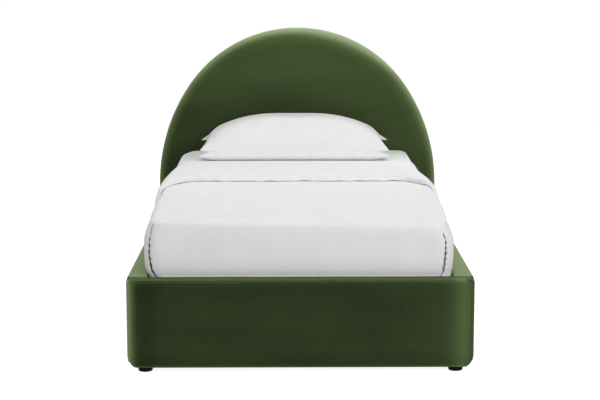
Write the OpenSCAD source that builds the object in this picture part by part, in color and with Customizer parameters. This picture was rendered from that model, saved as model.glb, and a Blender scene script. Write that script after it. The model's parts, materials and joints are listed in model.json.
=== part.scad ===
// Upholstered platform bed with an arched headboard, made up with bedding.
// Millimetres. X runs across the bed, Y from foot to head, Z up from the floor.
// The origin is on the floor, under the middle of the bed.

/* [Mattress] */
// Width of the mattress that the bed takes
mattress_w = 965; // [900:5:1400]
// Length of the mattress
mattress_l = 1905; // [1800:5:2100]
// Height of the mattress
mattress_h = 250; // [200:5:300]
// Radius of the mattress's upright corners
mattress_corner_r = 60; // [45:1:90]
// Radius of the mattress's top and bottom edges
mattress_edge_r = 28; // [18:1:36]
// Thickness of the quilted ticking
ticking_t = 12; // [6:1:20]
// Diameter of the border wires inside the mattress
border_wire_d = 5; // [3:0.5:6]
// Outer diameter of a spring
spring_d = 90; // [70:1:100]
// Wall that gives a spring its real mass
spring_wall = 0.4; // [0.3:0.1:1]
// Rows of springs across the mattress
spring_rows = 5; // [3:1:6]
// Springs in a row along the mattress
springs_per_row = 10; // [6:1:14]

/* [Frame] */
// Gap between the mattress and the frame all round
mattress_gap = 10; // [8:0.5:16]
// Thickness of the side rails and the footboard
panel_t = 62.5; // [58:0.5:80]
// Height of the side rails and the footboard
panel_h = 285; // [270:5:320]
// Height of the gap between the floor and the panels
floor_gap = 20; // [12:1:40]
// Height of the slats' top face above the floor
platform_h = 226; // [215:1:250]
// Radius of the footboard's upright front corners
panel_corner_r = 37; // [20:1:45]
// Radius of the footboard's lower corners, seen from the foot
lower_corner_r = 35; // [15:1:45]
// Radius of the footboard's upper corners, seen from the foot
upper_corner_r = 14; // [8:1:20]
// Radius of the panels' long edges
panel_edge_r = 6; // [4:0.5:9]

/* [Headboard] */
// Width of the headboard
headboard_w = 1225; // [1180:5:1400]
// Height of the headboard's top above the floor
headboard_h = 1009; // [960:1:1100]
// Thickness of the headboard
headboard_t = 90; // [85:1:110]
// How much smaller the arch's radius over the middle is than half of the width
crown_step = 34.5; // [15:0.5:55]
// How much larger the arch's radius at the shoulders is than half of the width
shoulder_step = 167.5; // [90:2.5:280]
// Radius of the headboard's front edge
headboard_edge_r = 40; // [25:1:45]

/* [Upholstery] */
// Thickness of the velvet cover with its lining
cover_t = 2; // [1.5:0.25:3]
// Thickness of the foam on the panels
foam_t = 15; // [10:1:18]
// Thickness of the foam on the headboard's face
headboard_foam_t = 30; // [20:1:32]
// Width of the cover's turned-in lip, where it is stapled
lip_w = 25; // [15:1:30]
// Distance of the back cover's edge from the headboard's outline
back_cover_inset = 12; // [6:1:20]

/* [Woodwork] */
// Thickness of the slats
slat_t = 18; // [15:1:22]
// Width of a slat
slat_w = 70; // [50:1:90]
// Play between a slat's ends and the side rails
slat_play = 2; // [1:0.5:4]
// Width of the ledges that carry the slats
ledge_w = 22; // [18:1:30]
// Height of the ledges
ledge_h = 40; // [30:1:45]
// Width of the centre beam
beam_w = 40; // [36:1:60]
// Height of the centre beam
beam_h = 50; // [40:1:60]
// Side of the square centre legs
leg_w = 40; // [34:1:50]
// Wooden face left behind the panel cores' pockets
core_face_t = 8; // [5:1:12]
// Width of the members round the pockets
member_w = 45; // [35:1:60]
// Length of the solid wood at each end of a core
core_end = 110; // [100:1:130]
// Thickness of the headboard's plywood face
ply_t = 9; // [6:1:12]
// Width of the headboard's uprights and cross battens
batten_w = 90; // [80:1:110]
// Side of the corner blocks
block_w = 70; // [60:1:90]
// Height of the corner blocks
block_h = 45; // [35:1:50]

/* [Hardware] */
// Thickness of the corner brackets
bracket_t = 3; // [2:0.5:5]
// Length of each arm of a corner bracket
bracket_arm = 60; // [54:1:80]
// Height of a corner bracket
bracket_h = 90; // [80:1:95]
// Shank diameter of the frame bolts
bolt_d = 8; // [6:1:8]
// Depth of the frame bolts in the wood
bolt_grip = 30; // [24:1:34]
// Distance of the bolts from the corner
bolt_inset = 38; // [36:1:40]
// Outer diameter of the threaded inserts
insert_d = 12; // [11:0.5:14]
// Length of the threaded inserts
insert_l = 18; // [12:1:22]
// Shank diameter of the wood screws
screw_d = 5; // [4:0.5:5]
// Depth of the wood screws in the last piece that they hold
screw_grip = 25; // [15:1:30]
// Play all round a shank in its hole
hole_play = 0.3; // [0.2:0.1:0.5]
// Steel thickness of the beam hangers
hanger_t = 2.5; // [2:0.5:4]
// Diameter of the corner feet
foot_d = 50; // [40:1:56]
// Distance of a foot's middle from the outer faces of the frame
foot_inset = 56; // [50:1:60]
// Diameter of a leveller's pad
pad_d = 34; // [28:1:40]
// Thickness of a leveller's pad
pad_t = 8; // [6:1:9]
// Thread diameter of a leveller's stud
stud_d = 8; // [6:1:8]
// Length of the stud's threaded shank
stud_l = 32; // [24:1:40]
// Play all round the stud in its leg
stud_play = 0.1; // [0.05:0.01:0.1]
// Width of the slats' webbing straps
strap_w = 25; // [20:1:40]
// Thickness of the webbing straps
strap_t = 1.5; // [1:0.25:3]

/* [Bedding] */
// Thickness of the fitted sheet
sheet_t = 1; // [0.8:0.1:2]
// Play between bedding pieces that lift apart
bedding_play = 0.4; // [0.3:0.1:1]
// Loft of the duvet on the mattress
duvet_t = 9; // [6:1:14]
// Thickness of the duvet's hem, tucked in beside the mattress
hem_t = 6; // [4:0.5:6]
// Depth of the hem below the rails' top
hem_tuck = 15; // [5:1:25]
// How far the left side drop stands out from the mattress
left_loft = 19; // [12:1:24]
// How far the right side drop stands out from the mattress
right_loft = 10; // [8:1:24]
// How far the foot drop stands out from the mattress
foot_loft = 12; // [8:1:16]
// Thickness of the turned-back layer
turn_t = 13; // [8:1:18]
// Distance of the turned-back fold from the mattress's head end
fold_back = 545; // [470:5:700]
// Length of the turned-back layer
turn_l = 500; // [400:5:600]
// How much narrower the turned-back layer is at its fold, on each side
turn_taper = 20; // [5:1:30]
// Width of the slits at the foot corners
slit_w = 5; // [3:0.5:10]
// Distance of the slits' ends from the duvet's outer sides
slit_inset = 45; // [38:1:50]
// How far the slits bow out towards the sides
slit_bow = 18; // [5:1:22]
// Width of the lower pillow
lower_pillow_w = 810; // [700:5:850]
// Depth of the lower pillow from front to back
lower_pillow_d = 405; // [360:5:430]
// Height of the lower pillow
lower_pillow_h = 47; // [35:1:80]
// Width of the upper pillow
upper_pillow_w = 790; // [700:5:850]
// Depth of the upper pillow from front to back
upper_pillow_d = 370; // [340:5:400]
// Height of the upper pillow
upper_pillow_h = 125; // [90:1:160]
// How far the middle of a pillow's sides is drawn in
pillow_draw = 18; // [0:1:25]
// How far the pillows lie to the left of the middle
pillow_shift = 14; // [0:1:30]

/* [Hidden] */
$fn = 64;
cut = 1;

inner_w = mattress_w + 2 * mattress_gap;
inner_l = mattress_l + 2 * mattress_gap;
base_w = inner_w + 2 * panel_t;
total_l = panel_t + inner_l + headboard_t;
front_y = -total_l / 2;
foot_in_y = front_y + panel_t;
head_y = foot_in_y + inner_l;
back_y = head_y + headboard_t;
rail_x = inner_w / 2;
rail_top = floor_gap + panel_h;

core_t = panel_t - foam_t - 2 * cover_t;
slat_z = platform_h - slat_t;
ledge_z = slat_z - ledge_h;
beam_z = slat_z - beam_h;
bracket_z = ledge_z - bracket_h - cut;
bolt_rows = [bracket_z + bracket_h * 0.25, bracket_z + bracket_h * 0.75];
head_width = 2;
head_height = 0.6;
bolt_head_d = head_width * bolt_d;
bolt_head_t = head_height * bolt_d;
screw_head_d = head_width * screw_d;
screw_head_t = head_height * screw_d;

spring_unit_h = mattress_h - 2 * ticking_t;
wire_play = 0.3;
slat_count = 13;
leg_count = 3;
ledge_screws = 5;
foot_bottom_r = 3;
foot_taper = 2;
foot_recess_d = 16;
foot_recess_h = 8;
stud_flange_d = 1.6 * stud_d;
stud_flange_t = 5;
stud_spigot_d = 0.75 * stud_d;
stud_spigot_l = 4;
leg_dowel_l = 60;
strap_x = inner_w / 4;
hanger_flange = 20;
hanger_seat_l = 45;
hanger_h = 0.8 * beam_h;

// The headboard's arch is one crown arc and two shoulder arcs that meet on a tangent.
arch_half = headboard_w / 2;
crown_r = arch_half - crown_step;
shoulder_r = arch_half + shoulder_step;
crown_z = headboard_h - crown_r;
shoulder_z = crown_z - sqrt(pow(crown_step + shoulder_step, 2) - shoulder_step * shoulder_step);
tangent_a = atan2(crown_z - shoulder_z, shoulder_step);
shoulder_steps = 8;
crown_steps = 28;
edge_steps = 6;

lining_y = back_y - 2 * cover_t;
core_inset = cover_t + foam_t;
ply_y = head_y + cover_t + headboard_foam_t;
batten_y = ply_y + ply_t;
batten_t = lining_y - batten_y;
upright_x = rail_x - bolt_inset;
upright_top = arch_z(upright_x + batten_w / 2, core_inset) - member_w;

bed_top = platform_h + mattress_h;
mattress_foot_y = foot_in_y + mattress_gap;
mattress_head_y = mattress_foot_y + mattress_l;
sheet_top = bed_top + sheet_t;
duvet_x = mattress_w / 2 + sheet_t + bedding_play;
duvet_foot_y = mattress_foot_y - sheet_t - bedding_play;
duvet_z = sheet_top + bedding_play;
duvet_top = duvet_z + duvet_t;
hem_z = rail_top - hem_tuck;
fold_y = mattress_head_y - fold_back;
turn_y = fold_y - turn_l;
drop_low = rail_top - panel_edge_r;
drop_steps = 26;
DROP = [3.5, 24];
TURN_DROP = [2.6, 34];
turn_raise = 45;
turn_corner_r = 45;
turn_bend = 0.8;
turn_run = 250;
turn_steps = 32;
pillow_z = sheet_top + bedding_play;

SIDES = [-1, 1];
ENDS = [-1, 1];

// Outlines and solids that several pieces share

// A rectangle from the origin, with a radius for each corner: lower left, then counter-clockwise
module round_rect(w, h, r) {
    polygon([
        [r[0], 0], [w - r[1], 0], [w, r[1]], [w, h - r[2]],
        [w - r[2], h], [r[3], h], [0, h - r[3]], [0, r[0]]
    ]);
    at = [[r[0], r[0]], [w - r[1], r[1]], [w - r[2], h - r[2]], [r[3], h - r[3]]];
    for (i = [0:3])
        if (r[i] > 0)
            translate(at[i]) circle(r[i]);
}

// A block from the origin, cut to a plan, a front view and a side view with round corners
module three_view_block(size, plan, front, side) {
    intersection() {
        linear_extrude(size[2]) round_rect(size[0], size[1], plan);
        translate([0, size[1], 0]) rotate([90, 0, 0])
            linear_extrude(size[1]) round_rect(size[0], size[2], front);
        rotate([90, 0, 90]) linear_extrude(size[0]) round_rect(size[1], size[2], side);
    }
}

// A mattress shape, grown by g on every side
module mattress_block(g) {
    size = [mattress_w + 2 * g, mattress_l + 2 * g, mattress_h + 2 * g];
    corners = [for (k = [0:3]) mattress_corner_r + g];
    edges = [for (k = [0:3]) mattress_edge_r + g];
    translate([-size[0] / 2, mattress_foot_y - g, platform_h - g])
        three_view_block(size, corners, edges, edges);
}

// A point of the arch at angle a, inset by i from the outline
function crown_point(a, i) = [(crown_r - i) * cos(a), crown_z + (crown_r - i) * sin(a)];
function shoulder_point(a, i) = [(shoulder_r - i) * cos(a) - shoulder_step,
    shoulder_z + (shoulder_r - i) * sin(a)];
// Height of the arch over x, on the crown arc
function arch_z(x, i) = crown_z + sqrt(pow(crown_r - i, 2) - x * x);
// The headboard's outline, inset by i, counter-clockwise from the lower left corner
function right_half(i) = concat(
    [[arch_half - i, floor_gap + i]],
    [for (k = [0:shoulder_steps - 1]) shoulder_point(tangent_a * k / shoulder_steps, i)],
    [for (k = [0:crown_steps / 2]) crown_point(tangent_a + (90 - tangent_a) * 2 * k / crown_steps, i)]
);
function mirrored(points) = [for (k = [len(points) - 2:-1:0]) [-points[k][0], points[k][1]]];
function arch_outline(i) = concat(right_half(i), mirrored(right_half(i)));

// A shell or slab of the headboard, through stations of [inset, y], closed at both ends
module arch_loft(stations) {
    rings = [for (s = stations) [for (p = arch_outline(s[0])) [p[0], s[1], p[1]]]];
    n = len(rings[0]);
    last = len(rings) - 1;
    polyhedron(
        points = [for (ring = rings) for (p = ring) p],
        faces = concat(
            [[for (k = [0:n - 1]) k]],
            [for (j = [0:last - 1]) for (k = [0:n - 1])
                each [[j * n + k, (j + 1) * n + k, j * n + (k + 1) % n],
                      [j * n + (k + 1) % n, (j + 1) * n + k, (j + 1) * n + (k + 1) % n]]],
            [[for (k = [n - 1:-1:0]) last * n + k]]
        )
    );
}

// Stations of a rounded front edge of radius r, whose outline is inset by i and whose face lies at y
function edge_stations(r, i, y) = [for (k = [0:edge_steps])
    [i + r - r * sin(90 * k / edge_steps), y + r - r * cos(90 * k / edge_steps)]];
function backwards(list) = [for (k = [len(list) - 1:-1:0]) list[k]];

// Bolts and screws: the head stands on the origin and the shank runs down
module bolt(length) {
    cylinder(d = bolt_head_d, h = bolt_head_t, $fn = 6);
    translate([0, 0, -length]) cylinder(d = bolt_d - hole_play, h = length + cut);
}
module screw(length) {
    cylinder(d = screw_head_d, h = screw_head_t);
    translate([0, 0, -length]) cylinder(d = screw_d - hole_play, h = length + cut);
}
module hole(d, length) {
    translate([0, 0, -length]) cylinder(d = d, h = length + 2 * bolt_head_t);
}

// Places of the corner bolts, as [point, turn]
RAIL_BOLTS = [for (sx = SIDES) for (sy = ENDS) for (z = bolt_rows)
    [[sx * (rail_x - bracket_t), (sy < 0 ? foot_in_y : head_y) - sy * bolt_inset, z], [0, -90 * sx, 0]]];
FOOT_BOLTS = [for (sx = SIDES) for (z = bolt_rows)
    [[sx * upright_x, foot_in_y + bracket_t, z], [-90, 0, 0]]];
HEAD_BOLTS = [for (sx = SIDES) for (z = bolt_rows)
    [[sx * upright_x, head_y - bracket_t, z], [90, 0, 0]]];
core_depth = bracket_t + cover_t;
ply_depth = bracket_t + cover_t + headboard_foam_t;
panel_bolt_l = core_depth + bolt_grip;
head_bolt_l = ply_depth + ply_t + bolt_grip;

// Places of the screws, as [point, turn, length]
ledge_pitch = (inner_l - 2 * core_end) / (ledge_screws - 1);
LEDGE_SCREWS = [for (sx = SIDES) for (k = [0:ledge_screws - 1])
    [[sx * (rail_x - ledge_w), foot_in_y + core_end + k * ledge_pitch, ledge_z + ledge_h / 3],
     [0, -90 * sx, 0], ledge_w + cover_t + screw_grip]];
hanger_screw_x = beam_w / 2 + hanger_t + hanger_flange / 2;
HANGER_SCREWS = concat(
    [for (sx = SIDES) [[sx * hanger_screw_x, foot_in_y + hanger_t, beam_z + hanger_h / 2], [-90, 0, 0],
        hanger_t + cover_t + screw_grip]],
    [for (sx = SIDES) [[sx * hanger_screw_x, head_y - hanger_t, beam_z + hanger_h / 2], [90, 0, 0],
        hanger_t + cover_t + headboard_foam_t + ply_t + screw_grip]]
);
slat_pitch = (inner_l - 2 * slat_w) / (slat_count - 1);
function slat_y(k) = foot_in_y + slat_w + k * slat_pitch;
SLAT_SCREWS = [for (sx = SIDES) for (k = [0, slat_count - 1])
    [[sx * (rail_x - ledge_w / 2), slat_y(k), platform_h - screw_head_t], [0, 0, 0],
     slat_t - screw_head_t + screw_grip]];
function leg_y(k) = foot_in_y + inner_l * (k + 0.5) / leg_count;

module at_places(places) {
    for (p = places)
        translate(p[0]) rotate(p[1]) children();
}
module panel_holes() {
    at_places(concat(RAIL_BOLTS, FOOT_BOLTS)) hole(bolt_d + hole_play, panel_bolt_l + cut);
    at_places(HEAD_BOLTS) hole(bolt_d + hole_play, head_bolt_l + cut);
    for (s = concat(LEDGE_SCREWS, HANGER_SCREWS))
        translate(s[0]) rotate(s[1]) hole(screw_d, s[2] + cut);
}
module insert_places() {
    at_places(concat(RAIL_BOLTS, FOOT_BOLTS)) translate([0, 0, -core_depth - insert_l]) children();
    at_places(HEAD_BOLTS) translate([0, 0, -ply_depth - insert_l]) children();
}

// An upholstered panel of length l, from the origin: its outer face at y = 0, round at the ends if closed
module panel_block(l, g, plan_r, low_r, high_r) {
    edge = panel_edge_r - g;
    translate([g, g, g])
        three_view_block([l - 2 * g, panel_t - 2 * g, panel_h - 2 * g],
            [max(plan_r - g, 0), max(plan_r - g, 0), 0, 0],
            [max(low_r - g, 0), max(low_r - g, 0), max(high_r - g, 0), max(high_r - g, 0)],
            [edge, edge, edge, edge]);
}
module panel_cover(l, plan_r, low_r, high_r) {
    slot_x = max(low_r, lip_w / 2) + cover_t;
    slot_y = panel_edge_r + cover_t;
    difference() {
        panel_block(l, 0, plan_r, low_r, high_r);
        panel_block(l, cover_t, plan_r, low_r, high_r);
        translate([slot_x, slot_y, -cut]) cube([l - 2 * slot_x, panel_t - 2 * slot_y, cover_t + 2 * cut]);
    }
}
// The core's block: set in by foam at its face, its top and, if its ends are round, its ends
module core_block(l, end_foam, low_r) {
    x = cover_t + end_foam;
    high = panel_h - cover_t - foam_t;
    translate([0, panel_t - cover_t, 0]) rotate([90, 0, 0]) linear_extrude(core_t)
        polygon([
            [x + low_r, cover_t], [l - x - low_r, cover_t], [l - x, cover_t + low_r],
            [l - x, high], [x, high], [x, cover_t + low_r]
        ]);
}
module panel_foam(l, plan_r, low_r, high_r, end_foam) {
    difference() {
        panel_block(l, cover_t, plan_r, low_r, high_r);
        core_block(l, end_foam, low_r);
    }
}
module panel_core(l, end_foam, low_r, posts) {
    x0 = cover_t + end_foam + core_end;
    bay = (l - 2 * x0 - (posts - 1) * member_w) / posts;
    difference() {
        intersection() {
            core_block(l, end_foam, low_r);
            panel_block(l, cover_t, 0, 0, 0);
        }
        for (k = [0:posts - 1])
            translate([x0 + k * (bay + member_w), cover_t + foam_t + core_face_t, cover_t + member_w])
                cube([bay, core_t, ledge_z - floor_gap - cover_t - 2 * member_w + ledge_h / 3]);
    }
}

module at_footboard() {
    translate([-base_w / 2, front_y, floor_gap]) children();
}
module at_rail(side) {
    if (side < 0)
        translate([-base_w / 2, head_y, floor_gap]) rotate([0, 0, -90]) children();
    else
        mirror([1, 0, 0]) translate([-base_w / 2, head_y, floor_gap]) rotate([0, 0, -90]) children();
}

// Footboard and side rails

module footboard_core() {
    color("burlywood") difference() {
        at_footboard() panel_core(base_w, foam_t, lower_corner_r, 2);
        panel_holes();
        insert_places() cylinder(d = insert_d, h = insert_l + cut);
        foot_screw_holes();
    }
}
module footboard_foam() {
    color("ivory") difference() {
        at_footboard() panel_foam(base_w, panel_corner_r, lower_corner_r, upper_corner_r, foam_t);
        panel_holes();
    }
}
module footboard_cover() {
    color("darkolivegreen") difference() {
        at_footboard() panel_cover(base_w, panel_corner_r, lower_corner_r, upper_corner_r);
        panel_holes();
        foot_screw_holes();
    }
}
module rail_core(side) {
    color("burlywood") difference() {
        at_rail(side) panel_core(inner_l, 0, 0, ledge_screws - 1);
        panel_holes();
        insert_places() cylinder(d = insert_d, h = insert_l + cut);
    }
}
module rail_foam(side) {
    color("ivory") at_rail(side) panel_foam(inner_l, 0, 0, 0, 0);
}
module rail_cover(side) {
    color("darkolivegreen") difference() {
        at_rail(side) panel_cover(inner_l, 0, 0, 0);
        panel_holes();
    }
}

// Headboard

module headboard_ply() {
    color("burlywood") difference() {
        translate([0, ply_y + ply_t, 0]) rotate([90, 0, 0])
            linear_extrude(ply_t) polygon(arch_outline(core_inset));
        panel_holes();
        insert_places() cylinder(d = insert_d, h = insert_l + cut);
    }
}
module headboard_battens() {
    low = floor_gap + core_inset;
    levels = [low, ledge_z - member_w, upright_top - member_w];
    color("tan") difference() {
        union() {
            for (sx = SIDES)
                translate([sx * upright_x - batten_w / 2, batten_y, low])
                    cube([batten_w, batten_t, upright_top - low]);
            for (z = levels)
                translate([-upright_x, batten_y, z])
                    cube([2 * upright_x, batten_t, z == low ? member_w : batten_w]);
        }
        panel_holes();
        insert_places() cylinder(d = insert_d, h = insert_l + cut);
        foot_screw_holes();
    }
}
module headboard_foam() {
    color("ivory") difference() {
        arch_loft(concat(
            edge_stations(headboard_edge_r - cover_t, cover_t, head_y + cover_t),
            [[cover_t, lining_y], [core_inset, lining_y], [core_inset, ply_y]]
        ));
        panel_holes();
        foot_screw_holes();
    }
}
module headboard_cover() {
    wrap_y = back_y - cover_t;
    color("darkolivegreen") difference() {
        arch_loft(concat(
            edge_stations(headboard_edge_r, 0, head_y),
            [[0, wrap_y], [cover_t + lip_w, wrap_y], [cover_t + lip_w, lining_y], [cover_t, lining_y]],
            backwards(edge_stations(headboard_edge_r - cover_t, cover_t, head_y + cover_t))
        ));
        panel_holes();
        foot_screw_holes();
    }
}
module headboard_back_cover() {
    color("darkolivegreen")
        translate([0, back_y, 0]) rotate([90, 0, 0])
            linear_extrude(cover_t) polygon(arch_outline(back_cover_inset));
}

// Slats, ledges, beam and legs

module ledge(side) {
    color("wheat") difference() {
        translate([side > 0 ? rail_x - ledge_w : -rail_x, foot_in_y + slat_play, ledge_z])
            cube([ledge_w, inner_l - 2 * slat_play, ledge_h]);
        panel_holes();
        slat_screw_holes();
    }
}
module slat_screw_holes() {
    for (s = SLAT_SCREWS)
        translate(s[0]) rotate(s[1]) hole(screw_d, s[2] + cut);
}
module slat(k) {
    color("wheat") difference() {
        translate([-rail_x + slat_play, slat_y(k) - slat_w / 2, slat_z])
            cube([inner_w - 2 * slat_play, slat_w, slat_t]);
        slat_screw_holes();
        for (s = SLAT_SCREWS)
            translate(s[0]) cylinder(d = screw_head_d + hole_play, h = screw_head_t + cut);
    }
}
module slat_straps() {
    color("dimgray")
        for (sx = SIDES)
            translate([sx * strap_x - strap_w / 2, slat_y(0) - slat_w / 2, slat_z - strap_t])
                cube([strap_w, slat_y(slat_count - 1) - slat_y(0) + slat_w, strap_t]);
}
module centre_beam() {
    color("wheat") difference() {
        translate([-beam_w / 2, foot_in_y + hanger_t, beam_z])
            cube([beam_w, inner_l - 2 * hanger_t, beam_h]);
        leg_dowels(hole_play);
    }
}
module beam_hanger(sy) {
    wall_y = sy < 0 ? foot_in_y : head_y - hanger_t;
    seat_y = sy < 0 ? foot_in_y : head_y - hanger_seat_l;
    wing_w = hanger_t + hanger_flange;
    color("dimgray") difference() {
        union() {
            for (sx = SIDES) {
                translate([sx > 0 ? beam_w / 2 : -beam_w / 2 - wing_w, wall_y, beam_z - hanger_t])
                    cube([wing_w, hanger_t, hanger_h]);
                translate([sx > 0 ? beam_w / 2 : -beam_w / 2 - hanger_t, seat_y, beam_z - hanger_t])
                    cube([hanger_t, hanger_seat_l, hanger_h]);
            }
            translate([-beam_w / 2, seat_y, beam_z - hanger_t]) cube([beam_w, hanger_seat_l, hanger_t]);
            translate([-beam_w / 2, wall_y, beam_z - hanger_t]) cube([beam_w, hanger_t, hanger_h]);
        }
        panel_holes();
    }
}
module leg_dowels(play) {
    for (k = [0:leg_count - 1])
        translate([0, leg_y(k), beam_z - leg_dowel_l / 2]) cylinder(d = bolt_d + play, h = leg_dowel_l);
}
module centre_legs() {
    color("wheat") difference() {
        for (k = [0:leg_count - 1])
            translate([-leg_w / 2, leg_y(k) - leg_w / 2, floor_gap])
                cube([leg_w, leg_w, beam_z - floor_gap]);
        leg_dowels(hole_play);
        for (k = [0:leg_count - 1])
            translate([0, leg_y(k), floor_gap - cut])
                cylinder(d = stud_d + 2 * stud_play, h = stud_l + cut);
    }
}
module leveller_stud(k) {
    color("silver") translate([0, leg_y(k), 0]) {
        translate([0, 0, pad_t - stud_spigot_l]) cylinder(d = stud_spigot_d, h = stud_spigot_l + cut);
        translate([0, 0, pad_t + stud_play]) cylinder(d = stud_flange_d, h = stud_flange_t, $fn = 6);
        translate([0, 0, pad_t + stud_play]) cylinder(d = stud_d, h = stud_l);
    }
}
module leveller_pad(k) {
    socket_l = stud_spigot_l + stud_play;
    color("dimgray") translate([0, leg_y(k), 0]) difference() {
        cylinder(d = pad_d, h = pad_t);
        translate([0, 0, pad_t - socket_l]) cylinder(d = stud_spigot_d + 2 * stud_play, h = socket_l + cut);
    }
}

// Corner blocks, brackets, fasteners and feet

module corner_blocks() {
    color("tan")
        for (sx = SIDES) for (sy = ENDS)
            translate([sx > 0 ? rail_x - block_w : -rail_x,
                       sy < 0 ? foot_in_y : head_y - block_w, floor_gap])
                difference() {
                    cube([block_w, block_w, block_h]);
                    translate([sx > 0 ? 0 : block_w, sy < 0 ? block_w : 0, -cut])
                        rotate([0, 0, 45]) translate([-block_w / 2, -block_w / 2, 0])
                            cube([block_w, block_w, block_h + 2 * cut]);
                }
}
module corner_bracket(sx, sy) {
    color("dimgray") difference() {
        union() {
            translate([sx > 0 ? rail_x - bracket_t : -rail_x,
                       sy < 0 ? foot_in_y : head_y - bracket_arm, bracket_z])
                cube([bracket_t, bracket_arm, bracket_h]);
            translate([sx > 0 ? rail_x - bracket_arm : -rail_x,
                       sy < 0 ? foot_in_y : head_y - bracket_t, bracket_z])
                cube([bracket_arm, bracket_t, bracket_h]);
        }
        panel_holes();
    }
}
module frame_bolts() {
    color("silver") {
        at_places(concat(RAIL_BOLTS, FOOT_BOLTS)) bolt(panel_bolt_l);
        at_places(HEAD_BOLTS) bolt(head_bolt_l);
        leg_dowels(0);
    }
}
module threaded_inserts() {
    color("silver") insert_places() difference() {
        cylinder(d = insert_d, h = insert_l);
        translate([0, 0, -cut]) cylinder(d = bolt_d, h = insert_l + 2 * cut);
    }
}
module frame_screws() {
    color("silver") {
        for (s = concat(LEDGE_SCREWS, HANGER_SCREWS, SLAT_SCREWS))
            translate(s[0]) rotate(s[1]) screw(s[2]);
        foot_places() foot_screw();
    }
}
foot_screw_l = foot_recess_h + screw_grip;
module foot_places() {
    for (sx = SIDES) {
        translate([sx * (base_w / 2 - foot_inset), front_y + foot_inset, 0]) children();
        translate([sx * (base_w / 2 - foot_inset), head_y + headboard_t / 2, 0]) children();
    }
}
module foot_screw() {
    translate([0, 0, foot_recess_h]) rotate([180, 0, 0]) screw(foot_screw_l);
}
module foot_screw_holes() {
    foot_places() translate([0, 0, foot_recess_h]) cylinder(d = screw_d, h = foot_screw_l + cut);
}
module foot(sx, sy) {
    y = sy < 0 ? front_y + foot_inset : head_y + headboard_t / 2;
    r = foot_d / 2;
    color("black") translate([sx * (base_w / 2 - foot_inset), y, 0]) difference() {
        rotate_extrude() {
            translate([r - foot_taper - foot_bottom_r, foot_bottom_r]) circle(foot_bottom_r);
            polygon([[0, 0], [r - foot_taper - foot_bottom_r, 0], [r - foot_taper, foot_bottom_r],
                     [r, floor_gap], [0, floor_gap]]);
        }
        translate([0, 0, -cut]) cylinder(d = screw_d, h = floor_gap + 2 * cut);
        translate([0, 0, -cut]) cylinder(d = foot_recess_d, h = foot_recess_h + cut);
    }
}

// Mattress and sheet

module mattress_ticking() {
    inset = -ticking_t;
    color("white") difference() {
        mattress_block(0);
        mattress_block(inset);
    }
}
module mattress_springs() {
    room_w = mattress_w - 2 * (ticking_t + mattress_edge_r);
    room_l = mattress_l - 2 * (ticking_t + mattress_edge_r);
    color("silver")
        for (i = [0:spring_rows - 1]) for (j = [0:springs_per_row - 1])
            translate([-room_w / 2 + room_w * (i + 0.5) / spring_rows,
                       mattress_foot_y + (mattress_l - room_l) / 2 + room_l * (j + 0.5) / springs_per_row,
                       platform_h + ticking_t])
                difference() {
                    cylinder(d = spring_d, h = spring_unit_h);
                    translate([0, 0, -cut])
                        cylinder(d = spring_d - 2 * spring_wall, h = spring_unit_h + 2 * cut);
                }
}
module mattress_border_wires() {
    r = border_wire_d / 2;
    inset = ticking_t + wire_play + r;
    x = mattress_w / 2 - inset;
    y = mattress_l / 2 - inset;
    bend = mattress_corner_r - inset;
    levels = [platform_h + mattress_edge_r + r, bed_top - mattress_edge_r - r];
    color("silver") translate([0, mattress_foot_y + mattress_l / 2, 0])
        for (z = levels) {
            for (side = SIDES) {
                translate([side * x, 0, z]) rotate([90, 0, 0])
                    cylinder(r = r, h = 2 * (y - bend), center = true);
                translate([0, side * y, z]) rotate([0, 90, 0])
                    cylinder(r = r, h = 2 * (x - bend), center = true);
            }
            for (k = [0:3])
                translate([(k == 0 || k == 3 ? 1 : -1) * (x - bend), (k < 2 ? 1 : -1) * (y - bend), z])
                    rotate([0, 0, 90 * k]) rotate_extrude(angle = 90) translate([bend, 0]) circle(r);
        }
}
module fitted_sheet() {
    skirt_z = platform_h + mattress_edge_r;
    color("white") difference() {
        mattress_block(sheet_t);
        mattress_block(0);
        translate([-base_w, front_y, 0]) cube([2 * base_w, total_l, skirt_z]);
    }
}

// Duvet: a top with a side drop each side and a foot drop, and its head end turned back over it

// How far a drop stands out at height z, between zero and one, and flatter with a higher power
function swell(z, low, top, power) = pow(1 - pow(abs(2 * (z - low) / (top - low) - 1), power), 1 / power);
function drop_x(face, loft, low, top, z, shape) =
    face + loft - (shape[1] + loft) * (1 - swell(z, low, top, shape[0]));
// A drop's outer side, as [distance, z]: straight up from the hem, and swelling out between low and top
function drop_points(face, loft, hem, low, top, shape) = concat(
    [[face + hem_t, hem]],
    [for (k = [0:drop_steps]) let (z = low + (top - low) * (1 - cos(180 * k / drop_steps)) / 2)
        [max(z < top - shape[1] ? face + hem_t : 0, drop_x(face, loft, low, top, z, shape)), z]]
);
function mirror_x(points) = [for (k = [len(points) - 1:-1:0]) [-points[k][0], points[k][1]]];
// The cross-section from side to side, standing out further by more
function cross_section(more, hem, low, top, shape) = concat(
    drop_points(duvet_x, right_loft + more, hem, low, top, shape),
    mirror_x(drop_points(duvet_x, left_loft + more, hem, low, top, shape))
);
// The lengthwise section, from y to the foot drop
function long_section(y) = concat(
    [[y, hem_z], [y, duvet_top]],
    mirror_x(drop_points(-duvet_foot_y, foot_loft, hem_z, drop_low, duvet_top, DROP))
);

module across(points) {
    translate([0, back_y, 0]) rotate([90, 0, 0]) linear_extrude(total_l) polygon(points);
}
module along(points) {
    translate([-base_w / 2, 0, 0]) rotate([90, 0, 90]) linear_extrude(base_w) polygon(points);
}
module foot_plan() {
    r = mattress_corner_r;
    translate([-duvet_x - left_loft, duvet_foot_y - foot_loft, 0])
        linear_extrude(headboard_h)
            round_rect(2 * duvet_x + left_loft + right_loft, total_l / 2 + fold_y, [r, r, 0, 0]);
}
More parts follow.
